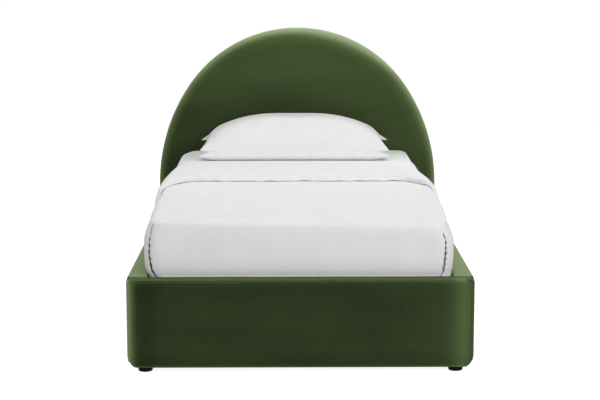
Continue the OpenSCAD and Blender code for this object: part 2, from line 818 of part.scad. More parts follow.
// Front edge of the turned-back layer: straight across the top, and running to the foot down the sides
function turn_edge(x, half) = turn_y
    - turn_run * pow(max(0, (abs(x) / half - turn_bend) / (1 - turn_bend)), 2);
// A round corner at the turned-back layer's fold
function turn_corner(x, from) = [for (a = [from:15:from + 90])
    [x + turn_corner_r * cos(a), fold_y - turn_corner_r + turn_corner_r * sin(a)]];
module turn_plan() {
    right = duvet_x + right_loft + turn_t;
    left = duvet_x + left_loft + turn_t;
    linear_extrude(headboard_h) polygon(concat(
        [for (k = [0:turn_steps]) let (x = (left + right) * k / turn_steps - left)
            [x, turn_edge(x, x < 0 ? left : right)]],
        turn_corner(right - turn_taper - turn_corner_r, 0),
        turn_corner(turn_taper + turn_corner_r - left, 90)
    ));
}
module duvet_slits() {
    for (loft = [left_loft, right_loft])
        mirror([loft == left_loft ? 1 : 0, 0, 0])
            translate([0, mattress_foot_y + mattress_corner_r, 0]) rotate([90, 0, 0])
                linear_extrude(mattress_corner_r + mattress_gap + foot_loft + panel_t)
                    polygon(concat(slit_side(loft, slit_w / 2), backwards(slit_side(loft, -slit_w / 2))));
}
function slit_side(loft, out) = [for (k = [0:drop_steps]) let (u = k / drop_steps)
    [duvet_x + loft - slit_inset + slit_bow * sin(180 * u) + out,
     hem_z - cut + (duvet_top - DROP[1] - hem_z) * u]];

module duvet() {
    roll_r = (duvet_t + turn_t) / 2;
    flat_y = fold_y - roll_r;
    turn_low = hem_z + turn_raise;
    color("white") difference() {
        union() {
            intersection() {
                across(cross_section(0, hem_z, drop_low, duvet_top, DROP));
                along(long_section(flat_y));
                foot_plan();
            }
            intersection() {
                across(cross_section(turn_t, turn_low, turn_low + hem_tuck, duvet_top + turn_t, TURN_DROP));
                turn_plan();
                union() {
                    translate([-base_w / 2, duvet_foot_y, 0])
                        cube([base_w, flat_y - duvet_foot_y, headboard_h]);
                    translate([-base_w / 2, flat_y, duvet_z + roll_r]) rotate([0, 90, 0])
                        cylinder(r = roll_r, h = base_w);
                }
            }
        }
        mattress_block(sheet_t + bedding_play);
        duvet_slits();
    }
}

// Pillows: a top and an underside on one grid, sewn together at the seam, with a pointed corner at each end

pillow_across = 24;
pillow_along = 14;
// Heights of the pillows' seams, and how sharply they fall off to the sides, to the front and below
LOWER_PILLOW = [0.45, 8, 8, 12];
UPPER_PILLOW = [0.28, 2.95, 4, 8];
// Grid positions from -1 to 1, closer together towards the seam
function spread(k, n) = sin(90 * (2 * k / n - 1));
// A point of a pillow: u runs across, v from front to back, and z is its height
function pillow_point(w, d, u, v, z) = [
    u * (w / 2 - pillow_draw * (1 - v * v)),
    v * (d / 2 - pillow_draw * (1 - u * u)),
    z
];
// How full a pillow is, from one in the middle to nothing at the seam
function fullness(u, v, across_power, along_power) =
    (1 - pow(abs(u), across_power)) * sqrt(1 - pow(abs(v), along_power));
module pillow(w, d, h, shape) {
    seam_z = h * shape[0];
    nu = pillow_across;
    nv = pillow_along;
    top = [for (j = [0:nv]) for (i = [0:nu]) let (u = spread(i, nu), v = spread(j, nv))
        pillow_point(w, d, u, v, seam_z + (h - seam_z) * fullness(u, v, shape[1], shape[2]))];
    low = [for (j = [1:nv - 1]) for (i = [1:nu - 1]) let (u = spread(i, nu), v = spread(j, nv))
        pillow_point(w, d, u, v, seam_z * (1 - fullness(u, v, shape[3], shape[3])))];
    polyhedron(points = concat(top, low), faces = [for (j = [0:nv - 1]) for (i = [0:nu - 1]) each concat(
        two_faces([upper_at(i, j), upper_at(i, j + 1), upper_at(i + 1, j + 1), upper_at(i + 1, j)], i, j),
        two_faces([lower_at(i, j), lower_at(i + 1, j), lower_at(i + 1, j + 1), lower_at(i, j + 1)], i, j)
    )]);
}
// A cell's diagonal runs out towards the pillow's nearest corner
function two_faces(q, i, j) = (i < pillow_across / 2) == (j < pillow_along / 2)
    ? [[q[0], q[1], q[2]], [q[0], q[2], q[3]]]
    : [[q[0], q[1], q[3]], [q[1], q[2], q[3]]];
function upper_at(i, j) = j * (pillow_across + 1) + i;
// The underside uses the top's points along the seam, and its own within it
function lower_at(i, j) = i == 0 || j == 0 || i == pillow_across || j == pillow_along
    ? upper_at(i, j)
    : (pillow_across + 1) * (pillow_along + 1) + (j - 1) * (pillow_across - 1) + i - 1;

module lower_pillow() {
    color("white") translate([-pillow_shift, mattress_head_y - lower_pillow_d / 2, pillow_z])
        pillow(lower_pillow_w, lower_pillow_d, lower_pillow_h, LOWER_PILLOW);
}
module upper_pillow() {
    seat_z = pillow_z + lower_pillow_h + bedding_play;
    color("white") translate([-pillow_shift, mattress_head_y - upper_pillow_d / 2, seat_z])
        pillow(upper_pillow_w, upper_pillow_d, upper_pillow_h, UPPER_PILLOW);
}

footboard_core();
footboard_foam();
footboard_cover();
rail_core(-1);  // left_rail_core
rail_foam(-1);  // left_rail_foam
rail_cover(-1);  // left_rail_cover
rail_core(1);  // right_rail_core
rail_foam(1);  // right_rail_foam
rail_cover(1);  // right_rail_cover
headboard_ply();
headboard_battens();
headboard_foam();
headboard_cover();
headboard_back_cover();
ledge(-1);  // left_ledge
ledge(1);  // right_ledge
centre_beam();
beam_hanger(-1);  // beam_hanger_foot
beam_hanger(1);  // beam_hanger_head
corner_blocks();
corner_bracket(-1, -1);  // bracket_front_left
corner_bracket(1, -1);  // bracket_front_right
corner_bracket(-1, 1);  // bracket_back_left
corner_bracket(1, 1);  // bracket_back_right
frame_bolts();
threaded_inserts();
frame_screws();
foot(-1, -1);  // foot_front_left
foot(1, -1);  // foot_front_right
foot(-1, 1);  // foot_back_left
foot(1, 1);  // foot_back_right
centre_legs();
leveller_stud(0);  // leveller_stud_1
leveller_stud(1);  // leveller_stud_2
leveller_stud(2);  // leveller_stud_3
leveller_pad(0);  // leveller_pad_1
leveller_pad(1);  // leveller_pad_2
leveller_pad(2);  // leveller_pad_3
slat(0);  // slat_01
slat(1);  // slat_02
slat(2);  // slat_03
slat(3);  // slat_04
slat(4);  // slat_05
slat(5);  // slat_06
slat(6);  // slat_07
slat(7);  // slat_08
slat(8);  // slat_09
slat(9);  // slat_10
slat(10);  // slat_11
slat(11);  // slat_12
slat(12);  // slat_13
slat_straps();
mattress_ticking();
mattress_springs();
mattress_border_wires();
fitted_sheet();
duvet();
lower_pillow();
upper_pillow();
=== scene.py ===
"""An upholstered platform bed: its finishes, its soft pieces and the studio that it stands in."""

from __future__ import annotations

import json
import logging
import math
from collections.abc import Callable, Iterable, Sequence
from dataclasses import dataclass
from enum import Enum

import bmesh
import bpy
import numpy as np
from mathutils import Matrix, Vector
from mathutils.bvhtree import BVHTree
from mathutils.kdtree import KDTree

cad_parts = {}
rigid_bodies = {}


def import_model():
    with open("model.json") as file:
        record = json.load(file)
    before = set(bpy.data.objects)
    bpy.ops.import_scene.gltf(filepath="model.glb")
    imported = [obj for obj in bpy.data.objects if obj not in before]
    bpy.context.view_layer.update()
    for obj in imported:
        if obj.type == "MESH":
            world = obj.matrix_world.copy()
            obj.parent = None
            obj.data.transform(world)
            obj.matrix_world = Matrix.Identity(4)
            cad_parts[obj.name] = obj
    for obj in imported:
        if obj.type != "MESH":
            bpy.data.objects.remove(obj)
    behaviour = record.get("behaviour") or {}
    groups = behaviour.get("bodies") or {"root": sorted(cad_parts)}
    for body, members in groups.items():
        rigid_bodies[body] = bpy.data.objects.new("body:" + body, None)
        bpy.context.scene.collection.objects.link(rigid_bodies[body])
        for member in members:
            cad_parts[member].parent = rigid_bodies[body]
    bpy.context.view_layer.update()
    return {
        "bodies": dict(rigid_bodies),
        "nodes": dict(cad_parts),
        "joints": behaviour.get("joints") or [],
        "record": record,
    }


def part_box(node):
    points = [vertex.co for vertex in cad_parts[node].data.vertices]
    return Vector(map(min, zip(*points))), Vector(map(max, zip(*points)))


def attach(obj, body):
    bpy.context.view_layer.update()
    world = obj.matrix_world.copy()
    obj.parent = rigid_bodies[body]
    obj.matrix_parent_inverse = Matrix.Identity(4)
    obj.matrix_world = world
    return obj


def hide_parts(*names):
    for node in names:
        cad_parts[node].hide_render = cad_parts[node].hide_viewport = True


LOG = logging.getLogger("platform_bed")
Colour = tuple[float, float, float, float]
Triple = tuple[float, float, float]
Node = bpy.types.Node
Piece = bpy.types.Object
Socket = bpy.types.NodeSocket
CLOTH = "cloth"
THICKNESS = "thickness"
QUARTER = math.pi / 2
TURN = 2 * math.pi
WHITE: Colour = (1.0, 1.0, 1.0, 1.0)
DOWN: Triple = (0, 0, -1)
STAPLE: Triple = (0.011, 0.0012, 0.0008)
SEAM = 2e-5


def tone(red: int, green: int, blue: int) -> Colour:
    """Turn 8-bit screen values into a linear colour.

    Args:
        red: Red, from 0 to 255.
        green: Green, from 0 to 255.
        blue: Blue, from 0 to 255.

    Returns:
        The colour, opaque.
    """

    def linear(value: int) -> float:
        """Undo the screen's curve for one value."""
        share = value / 255
        return share / 12.92 if share <= 0.04045 else ((share + 0.055) / 1.055) ** 2.4

    return (linear(red), linear(green), linear(blue), 1.0)


def ease(value: np.ndarray | float, start: float, end: float) -> np.ndarray:
    """Rise smoothly from 0 at start to 1 at end.

    Args:
        value: Where to read the curve.
        start: The value up to which it is 0.
        end: The value from which it is 1.

    Returns:
        The height of the curve at each value.
    """
    share = np.clip((np.asarray(value, float) - start) / (end - start), 0, 1)
    return share * share * (3 - 2 * share)


def ticks(*stops: tuple[float, int]) -> np.ndarray:
    """List positions along an edge, with their own spacing in each stretch.

    Args:
        stops: Pairs of a position and the number of steps that lead up to it; the first starts the list.

    Returns:
        The positions, in order.
    """
    found = [stops[0][0]]
    for (start, _), (end, steps) in zip(stops, stops[1:]):
        found.extend(start + (end - start) * k / steps for k in range(1, steps + 1))
    return np.array(found)


def stacked(*parts: np.ndarray | float) -> np.ndarray:
    """Join coordinates into points, each spread over the shape that they share."""
    return np.stack(np.broadcast_arrays(*parts), axis=-1)


def way_along(line: np.ndarray) -> np.ndarray:
    """Measure how far each point of a line lies from its first one, along the line."""
    return np.cumsum(np.linalg.norm(np.diff(line, axis=0, prepend=line[:1]), axis=1))


def square_angle(share: np.ndarray) -> np.ndarray:
    """Turn the way up a square's side into the angle of the matching point on a circle."""
    return np.arctan2(share / math.sqrt(2), np.sqrt(1 - share * share / 2))


class Axis(Enum):
    """The direction in which a board's grain runs, as the order of the axes that the grain reads."""

    X = "YZX"
    Y = "ZXY"
    Z = "XYZ"


class Field:
    """A value on a board, which arithmetic turns into nodes."""

    def __init__(self, board: Board, socket: Socket) -> None:
        """Hold a socket and its board."""
        self.board = board
        self.socket = socket

    def __add__(self, other: Field | float) -> Field:
        """Add a value."""
        return self.board.maths("ADD", self, other)

    def __sub__(self, other: Field | float) -> Field:
        """Take a value away."""
        return self.board.maths("SUBTRACT", self, other)

    def __rsub__(self, other: float) -> Field:
        """Take this value away from a number."""
        return self.board.maths("SUBTRACT", other, self)

    def __mul__(self, other: Field | float) -> Field:
        """Multiply by a value."""
        return self.board.maths("MULTIPLY", self, other)

    def least(self, other: Field | float) -> Field:
        """Take the smaller value."""
        return self.board.maths("MINIMUM", self, other)

    def most(self, other: Field | float) -> Field:
        """Take the larger value."""
        return self.board.maths("MAXIMUM", self, other)

    def clamp(self) -> Field:
        """Hold the value between 0 and 1."""
        return self.board.read("Clamp", 0, {0: self})

    def span(self, low: float, high: float, to_low: float = 0.0, to_high: float = 1.0) -> Field:
        """Map the value from one range to another, and hold it there."""
        values = {"Value": self, "From Min": low, "From Max": high, "To Min": to_low, "To Max": to_high}
        return self.board.read("MapRange", 0, values)

    def soft(self, low: float, high: float) -> Field:
        """Rise smoothly from 0 at low to 1 at high."""
        values = {"Value": self, "From Min": low, "From Max": high}
        return self.board.read("MapRange", 0, values, interpolation_type="SMOOTHSTEP")

    def curve(self, stops: Sequence[tuple[float, float]]) -> Field:
        """Read the value off a smooth curve.

        Args:
            stops: Places and heights that the curve goes through, in order.

        Returns:
            The curve's height there.
        """
        places, heights = zip(*stops)
        first, last, low, high = places[0], places[-1], min(heights), max(heights)
        node = self.board.add("FloatCurve", {"Value": self.span(first, last)})
        line = node.mapping.curves[0]
        shares = [((place - first) / (last - first), (height - low) / (high - low)) for place, height in stops]
        line.points[0].location, line.points[1].location = shares[0], shares[-1]
        for share in shares[1:-1]:
            line.points.new(*share)
        node.mapping.update()
        return Field(self.board, node.outputs[0]) * (high - low) + low


class Board:
    """Lays out the nodes of one tree."""

    def __init__(self, tree: bpy.types.NodeTree, prefix: str = "ShaderNode") -> None:
        """Start with an empty tree.

        Args:
            tree: The nodes to work on.
            prefix: What its node types' names begin with.
        """
        self.tree = tree
        self.prefix = prefix
        tree.nodes.clear()

    def add(self, kind: str, values: dict | None = None, **settings: object) -> Node:
        """Place a node.

        Args:
            kind: The node's type, without its prefix.
            values: What each input gets, by its name or number: something to link, or a value.
            settings: The node's own properties.

        Returns:
            The node.
        """
        node = self.tree.nodes.new(kind if kind.startswith(("Node", "Function", "Shader")) else self.prefix + kind)
        for name, setting in settings.items():
            setattr(node, name, setting)
        for name, value in (values or {}).items():
            self.feed(node.inputs[name], value)
        return node

    def read(self, kind: str, output: int | str = 0, values: dict | None = None, **settings: object) -> Field:
        """Place a node as add does, and return one of its results."""
        return Field(self, self.add(kind, values, **settings).outputs[output])

    def feed(self, socket: Socket, value: object) -> None:
        """Link a result into a socket, or set its value.

        Args:
            socket: The socket.
            value: A result, or a plain value.
        """
        if isinstance(value, (Field, Socket)):
            self.tree.links.new(value.socket if isinstance(value, Field) else value, socket)
        else:
            socket.default_value = value

    def maths(self, operation: str, *values: Field | float) -> Field:
        """Place a Math node."""
        return self.read("Math", 0, dict(enumerate(values)), operation=operation)

    def mix(self, factor: Field, first: Field | Colour, second: Field | Colour) -> Field:
        """Blend two colours."""
        return self.read("Mix", 2, {0: factor, 6: first, 7: second}, data_type="RGBA")

    def vectors(self, operation: str, first: Field, second: Field | Triple) -> Field:
        """Place a Vector Math node for two vectors."""
        return self.read("VectorMath", 0, {0: first, 1: second}, operation=operation)

    def enlarged(self, vector: Field, factor: Field | float) -> Field:
        """Multiply a vector by one factor."""
        return self.read("VectorMath", 0, {0: vector, "Scale": factor}, operation="SCALE")

    def noise(self, vector: Field, scale: Field | float, detail: Field | float, output: int | str = 0) -> Field:
        """Place a Noise texture."""
        return self.read("TexNoise", output, {"Vector": vector, "Scale": scale, "Detail": detail})

    def split(self, vector: Field) -> list[Field]:
        """Take a vector's three parts."""
        return [Field(self, part) for part in self.add("SeparateXYZ", {0: vector}).outputs]

    def declare(self, label: str, kind: str, value: object = None, way: str = "INPUT") -> None:
        """Give the tree an input or an output.

        Args:
            label: Its name.
            kind: Its socket's type, without the prefix.
            value: Its usual value.
            way: INPUT or OUTPUT.
        """
        socket = self.tree.interface.new_socket(name=label, in_out=way, socket_type="NodeSocket" + kind)
        if value is not None:
            socket.default_value = value

    def given(self) -> dict[str, Field]:
        """Place the tree's input node, and return what it puts out, by name."""
        return {socket.name: Field(self, socket) for socket in self.add("NodeGroupInput").outputs if socket.name}

    def close(self, **results: Field) -> bpy.types.NodeTree:
        """End a shader group with the values that it puts out.

        Args:
            results: The values by name.

        Returns:
            The group.
        """
        for label in results:
            self.declare(label, "Float", way="OUTPUT")
        self.add("NodeGroupOutput", results)
        return self.tree


class Effects:
    """The shader groups that several finishes share, each built once."""

    def __init__(self) -> None:
        """Build every group."""
        self.weave = self._weave()
        self.mottle = self._mottle()
        self.grain = self._grain()
        self.wear = self._wear()

    @staticmethod
    def _open(name: str, **inputs: float) -> tuple[Board, dict[str, Field]]:
        """Start a group that is given a vector and some values.

        Args:
            name: The group's name.
            inputs: The values' names and what they usually are.

        Returns:
            The group's board, and what it is given, by name.
        """
        board = Board(bpy.data.node_groups.new(name, "ShaderNodeTree"))
        board.declare("Vector", "Vector")
        for label, value in inputs.items():
            board.declare(label, "Float", value)
        return board, board.given()

    def _weave(self) -> bpy.types.NodeTree:
        """Plain weave: threads that pass over and under each other.

        Returns:
            The group's nodes.
        """
        board, given = self._open("plain_weave", Threads=900.0)
        axes = board.split(board.enlarged(given["Vector"], given["Threads"]))
        waves = [board.maths("SINE", axis * math.pi) for axis in axes[:2]]
        over = board.maths("GREATER_THAN", waves[0] * waves[1], 0.0)
        warp, weft = (board.maths("ABSOLUTE", wave) for wave in waves)
        return board.close(Height=over * (weft - warp) + warp, Gap=1.0 - warp.most(weft))

    def _mottle(self) -> bpy.types.NodeTree:
        """Soft patches between a low and a high value.

        Returns:
            The group's nodes.
        """
        board, given = self._open("mottle", Scale=20.0, Detail=3.0, Low=0.0, High=1.0)
        noise = board.noise(given["Vector"], given["Scale"], given["Detail"])
        return board.close(Value=noise.span(0.3, 0.7) * (given["High"] - given["Low"]) + given["Low"])

    def _grain(self) -> bpy.types.NodeTree:
        """Growth rings and fibres that run along the vector's third axis.

        Returns:
            The group's nodes.
        """
        board, given = self._open("wood_grain", Rings=60.0)
        stretched = board.vectors("MULTIPLY", given["Vector"], (1.0, 1.0, 0.07))
        bend = board.enlarged(board.noise(stretched, 9.0, 2.0, "Color"), 0.05)
        values = {"Vector": board.vectors("ADD", stretched, bend), "Scale": given["Rings"], "Distortion": 2.5,
                  "Detail": 2.0, "Detail Scale": 1.5}
        rings = board.read("TexWave", "Fac", values, wave_type="RINGS", rings_direction="Z")
        fibre = board.noise(board.vectors("MULTIPLY", given["Vector"], (1.0, 1.0, 0.02)), 900.0, 2.0)
        return board.close(Tone=rings * 0.65 + fibre * 0.35, Height=fibre - rings * 0.4)

    def _wear(self) -> bpy.types.NodeTree:
        """Specks and rubbed patches.

        Returns:
            The group's nodes.
        """
        board, given = self._open("wear", Amount=0.3)
        both = board.noise(given["Vector"], 35.0, 4.0) * board.noise(given["Vector"], 700.0, 1.0)
        return board.close(Mask=((both - (0.42 - given["Amount"] * 0.2)) * 12.0).clamp())


class Paint(Board):
    """The board of one finish: its shader, where the piece is, and the shared groups."""

    def __init__(self, tree: bpy.types.NodeTree, finish: Finish, effects: Effects) -> None:
        """Place the shader and the output.

        Args:
            tree: The material's nodes.
            finish: The finish that it shows.
            effects: The shared groups.
        """
        super().__init__(tree)
        self.finish = finish
        self.effects = effects
        self.shader = self.add("BsdfPrincipled", {"Base Color": finish.colour, "Roughness": finish.roughness})
        self.add("OutputMaterial", {"Surface": self.shader.outputs[0]}).is_active_output = True
        self.place = self.read("TexCoord", "Object")

    def flat(self) -> Field:
        """Read where a point lies on the flat cloth."""
        return self.read("UVMap", uv_map=CLOTH)

    def group(self, tree: bpy.types.NodeTree, **values: object) -> list[Field]:
        """Place a shared group, and return its results."""
        return [Field(self, result) for result in self.add("Group", values, node_tree=tree).outputs]

    def mottle(self, scale: float, detail: float, low: float, high: float, place: Field | None = None) -> Field:
        """Place the shared patches.

        Args:
            scale: How many patches there are in a metre.
            detail: How broken their edges are.
            low: The lowest value.
            high: The highest value.
            place: Where to read them, if not at the piece's own place.

        Returns:
            The patches' value.
        """
        return self.group(self.effects.mottle, Vector=place or self.place, Scale=scale, Detail=detail, Low=low,
                          High=high)[0]

    def shade(self, share: Field) -> Field:
        """Blend the finish's two colours."""
        return self.mix(share, self.finish.colour, self.finish.second)

    def coat(self, colour: Field, roughness: Field | None = None) -> None:
        """Link the colour into the shader, and the roughness where it varies.

        Args:
            colour: Its colour.
            roughness: Its roughness.
        """
        self.feed(self.shader.inputs["Base Color"], colour)
        if roughness is not None:
            self.feed(self.shader.inputs["Roughness"], roughness)

    def fix(self, values: dict[str, float | Colour]) -> None:
        """Set plain values of the shader."""
        for name, value in values.items():
            self.shader.inputs[name].default_value = value

    def bump(self, height: Field, distance: float, strength: float = 1.0) -> None:
        """Feed a height, in steps of a distance, into the shader's normal."""
        values = {"Height": height, "Distance": distance, "Strength": strength}
        self.feed(self.shader.inputs["Normal"], self.read("Bump", 0, values))


@dataclass(frozen=True)
class Finish:
    """What every finish has: a name, a main colour and a second one."""

    name: str
    colour: Colour
    second: Colour
    roughness: float = 0.8

    def material(self, effects: Effects) -> bpy.types.Material:
        """Build the finish.

        Args:
            effects: The shared shader groups.

        Returns:
            The material.
        """
        found = bpy.data.materials.new(self.name)
        found.use_nodes = True
        self.dress(Paint(found.node_tree, self, effects))
        found.diffuse_color = self.colour
        return found

    def dress(self, paint: Paint) -> None:
        """Wire the finish's detail into the shader.

        Args:
            paint: The finish's board.
        """
        raise NotImplementedError


@dataclass(frozen=True)
class Velvet(Finish):
    """Short-pile velvet: dark seen face on, and light where its pile is seen from the side."""

    sheen: float = 0.18
    turned: float = 0.57
    arch_z: float = 0.431
    # The pale tone that the brightest pile fades to, a painted highlight.
    pale_highlight: Colour = tone(158, 174, 142)
    # The near-black colour of a painted shadow along the rear edge of the footboard's top.
    crease: Colour = tone(12, 16, 8)
    # Painted light across the footboard: highlights near both rounded ends, and shade just inside the left end.
    foot_painted_light: tuple[tuple[float, float], ...] = (
        (-0.555, 0.33), (-0.546, 0.26), (-0.540, 0.145), (-0.534, 0.078), (-0.5276, 0.032), (-0.521, -0.002),
        (-0.509, -0.026), (-0.496, -0.035), (-0.4815, -0.033), (-0.45, -0.012), (-0.40, -0.003), (0.0, -0.002),
        (0.30, 0.002), (0.40, 0.020), (0.447, 0.034), (0.470, 0.060), (0.485, 0.099), (0.4976, 0.150),
        (0.508, 0.182), (0.518, 0.200), (0.524, 0.155), (0.531, 0.070), (0.540, 0.020), (0.555, 0.0))

    def foot(self, x: Field, y: Field, z: Field) -> Field:
        """Give the painted light on the footboard: painted highlights near both rounded ends, and painted shade just
        inside the left end and towards the bottom.
        """
        shade = z.span(0.03, 0.08, -0.027, 0.0) + z.span(0.020, 0.035, -0.08, 0.0)
        return x.curve(self.foot_painted_light) * y.span(-1.036, -1.008, 1.0, 0.15) + shade

    def head(self, x: Field, y: Field, z: Field) -> Field:
        """Give the painted light on the headboard: lighter towards its right side and its top, with a painted
        highlight along the edge of its arch.

        Args:
            x: Places across the bed.
            y: Places along it.
            z: Heights.

        Returns:
            How much painted light is added there.
        """
        tilt = x.span(-0.1, 0.5, 0.0, 0.06) * z.span(0.65, 0.85, 1.0, 0.0)
        up = z - self.arch_z
        reach = x.board.maths("SQRT", x * x + up * up)
        right = x.span(-0.28, 0.12)
        edge = y.soft(0.9495, 0.965) * (right * 0.11 + 0.08) + reach.soft(0.530, 0.565) * (right * -0.04 + 0.04)
        wide = reach.soft(0.500, 0.560) * (right * 0.20)
        high = z.soft(0.80, 0.92) * 0.65 + z.span(0.45, 0.60, 0.0, 0.35)
        return wide * high + edge * z.soft(0.72, 0.96) + (z.soft(0.62, 0.84) * 0.078 + 0.05 + tilt)

    def dress(self, paint: Paint) -> None:
        """Wire the pile, its strokes, its sheen, and painted light and shade by place.

        Args:
            paint: The board of the finish.
        """
        x, y, z = paint.split(paint.place)
        at_foot, at_head = y.span(-0.9775, -0.9755, 1.0, 0.0), y.span(0.90, 0.94)
        # Painted shade: the sheen is held down along the footboard's top and bottom edges and at its right front
        # corner.
        edges = z.span(0.298, 0.304, 0.0, 0.84) + z.span(0.018, 0.034, 0.9, 0.0)
        corner = x.span(0.524, 0.538, 0.0, 0.88) * y.span(-1.012, -1.000, 1.0, 0.0)
        turned = paint.maths("POWER", paint.read("LayerWeight", "Facing", {"Blend": 0.42}), 0.7) * self.turned
        turned = turned.least(1.0 - (at_foot * (edges + corner)).least(0.9))
        # Painted light and shade by place: on the footboard, on the headboard, and lighter on the left rail.
        painted_light = at_foot * self.foot(x, y, z) + at_head * self.head(x, y, z)
        painted_light = painted_light + (1.0 - (at_foot + at_head)) * x.span(-0.50, -0.45, 0.07, 0.02)
        stroked = paint.vectors("MULTIPLY", paint.place, (0.5, 1.0, 1.6))
        uneven = paint.mottle(6.0, 2.0, -0.016, 0.016, stroked) + paint.mottle(70.0, 3.0, -0.008, 0.008)
        light = turned + painted_light + uneven
        # Painted highlight: the brightest parts fade to the pale tone.
        highlighted = paint.mix(light.soft(0.22, 0.75) * 0.75, paint.shade(light.clamp()), self.pale_highlight)
        # Painted shadow: a near-black band along the rear edge of the footboard's top, where the duvet meets it.
        inside = x.span(-0.500, -0.490, 0.0, 0.9) * x.span(0.490, 0.500, 1.0, 0.0)
        paint.coat(paint.mix(at_foot * y.soft(-1.005, -0.992) * inside, highlighted, self.crease))
        paint.fix({"Sheen Weight": self.sheen, "Sheen Roughness": 0.45, "Sheen Tint": self.second,
                   "Specular IOR Level": 0.12})
        paint.bump(paint.noise(paint.place, 1400.0, 2.0), 0.0005, 0.4)


@dataclass(frozen=True)
class Cloth(Finish):
    """Woven cotton, from a fine sheet to a coarse ticking."""

    threads: float = 1400.0
    relief: float = 0.00010
    rumple: float = 0.0008
    rumple_scale: float = 9.0

    def dress(self, paint: Paint) -> None:
        """Wire the weave, a faint unevenness of tone and soft rumples.

        Args:
            paint: The board of the finish.
        """
        height, gap = paint.group(paint.effects.weave, Vector=paint.flat(), Threads=self.threads)
        paint.coat(paint.mix(gap * 0.25, paint.shade(paint.mottle(14.0, 3.0, 0.0, 0.35)), self.second))
        paint.fix({"Sheen Weight": 0.12, "Specular IOR Level": 0.2})
        folds = paint.mottle(self.rumple_scale, 4.0, 0.0, self.rumple / self.relief)
        paint.bump(height + folds, self.relief, 0.8)


@dataclass(frozen=True)
class Webbing(Finish):
    """Flat woven strapping with a herringbone rib."""

    def dress(self, paint: Paint) -> None:
        """Wire the ribs and the weave.

        Args:
            paint: The board of the finish.
        """
        flat = paint.flat()
        height, _ = paint.group(paint.effects.weave, Vector=flat, Threads=700.0)
        x, y, _ = paint.split(flat)
        rib = paint.maths("PINGPONG", x * 160.0, 1.0)
        slant = paint.maths("SINE", (rib * 0.006 + y) * 1570.0)
        paint.coat(paint.shade(slant.span(-1.0, 1.0)))
        paint.bump(slant * 0.5 + height, 0.0002)


@dataclass(frozen=True)
class Foam(Finish):
    """Open-cell foam."""

    def dress(self, paint: Paint) -> None:
        """Wire the cells and a slight yellowing.

        Args:
            paint: The board of the finish.
        """
        values = {"Vector": paint.place, "Scale": 700.0}
        cells = paint.read("TexVoronoi", 0, values, feature="DISTANCE_TO_EDGE")
        paint.coat(paint.shade(paint.mottle(5.0, 3.0, 0.0, 1.0)))
        paint.bump(cells.span(0.0, 0.2), 0.0004)


@dataclass(frozen=True)
class Timber(Finish):
    """Planed softwood, or sanded plywood where the rings are wide."""

    axis: Axis = Axis.X
    rings: float = 60.0
    mark: Colour = tone(120, 88, 55)

    def dress(self, paint: Paint) -> None:
        """Wire the rings, the fibres, the boards' own tones and handling marks.

        Args:
            paint: The board of the finish.
        """
        axes = dict(zip("XYZ", paint.split(paint.place)))
        along = paint.read("CombineXYZ", 0, {k: axes[label] for k, label in enumerate(self.axis.value)})
        wood, height = paint.group(paint.effects.grain, Vector=along, Rings=self.rings)
        marks = paint.group(paint.effects.wear, Vector=paint.place, Amount=0.25)[0]
        share = wood.span(0.25, 0.85) + paint.mottle(3.5, 1.0, -0.15, 0.15)
        paint.coat(paint.mix(marks * 0.3, paint.shade(share.clamp()), self.mark),
                   wood.span(0.0, 1.0, 0.5, 0.68))
        paint.bump(height, 0.0002)


@dataclass(frozen=True)
class Metal(Finish):
    """Bright zinc plate or drawn wire."""

    spangle: float = 260.0

    def dress(self, paint: Paint) -> None:
        """Wire the plate's spangles and small scratches.

        Args:
            paint: The board of the finish.
        """
        patches = paint.read("TexVoronoi", "Color", {"Vector": paint.place, "Scale": self.spangle})
        marks = paint.group(paint.effects.wear, Vector=paint.place, Amount=0.4)[0]
        share = paint.read("SeparateColor", 0, {0: patches})
        paint.coat(paint.shade(share), share.span(0.0, 1.0, 0.25, 0.4) + marks * 0.2)
        paint.fix({"Metallic": 1.0})
        paint.bump(marks, 0.00005)


@dataclass(frozen=True)
class Coated(Finish):
    """Powder-coated steel, or plastic with a fine moulded texture."""

    texture: float = 900.0
    relief: float = 0.0001
    shine: float = 0.35

    def dress(self, paint: Paint) -> None:
        """Wire the skin's texture, dust and scuffs.

        Args:
            paint: The board of the finish.
        """
        scuffs = paint.group(paint.effects.wear, Vector=paint.place, Amount=0.2)[0]
        share = paint.mottle(25.0, 4.0, 0.0, 0.25) + scuffs * 0.5
        paint.coat(paint.shade(share), share.span(0.0, 1.0, self.roughness, 0.85))
        paint.fix({"Specular IOR Level": self.shine})
        paint.bump(paint.noise(paint.place, self.texture, 2.0), self.relief)


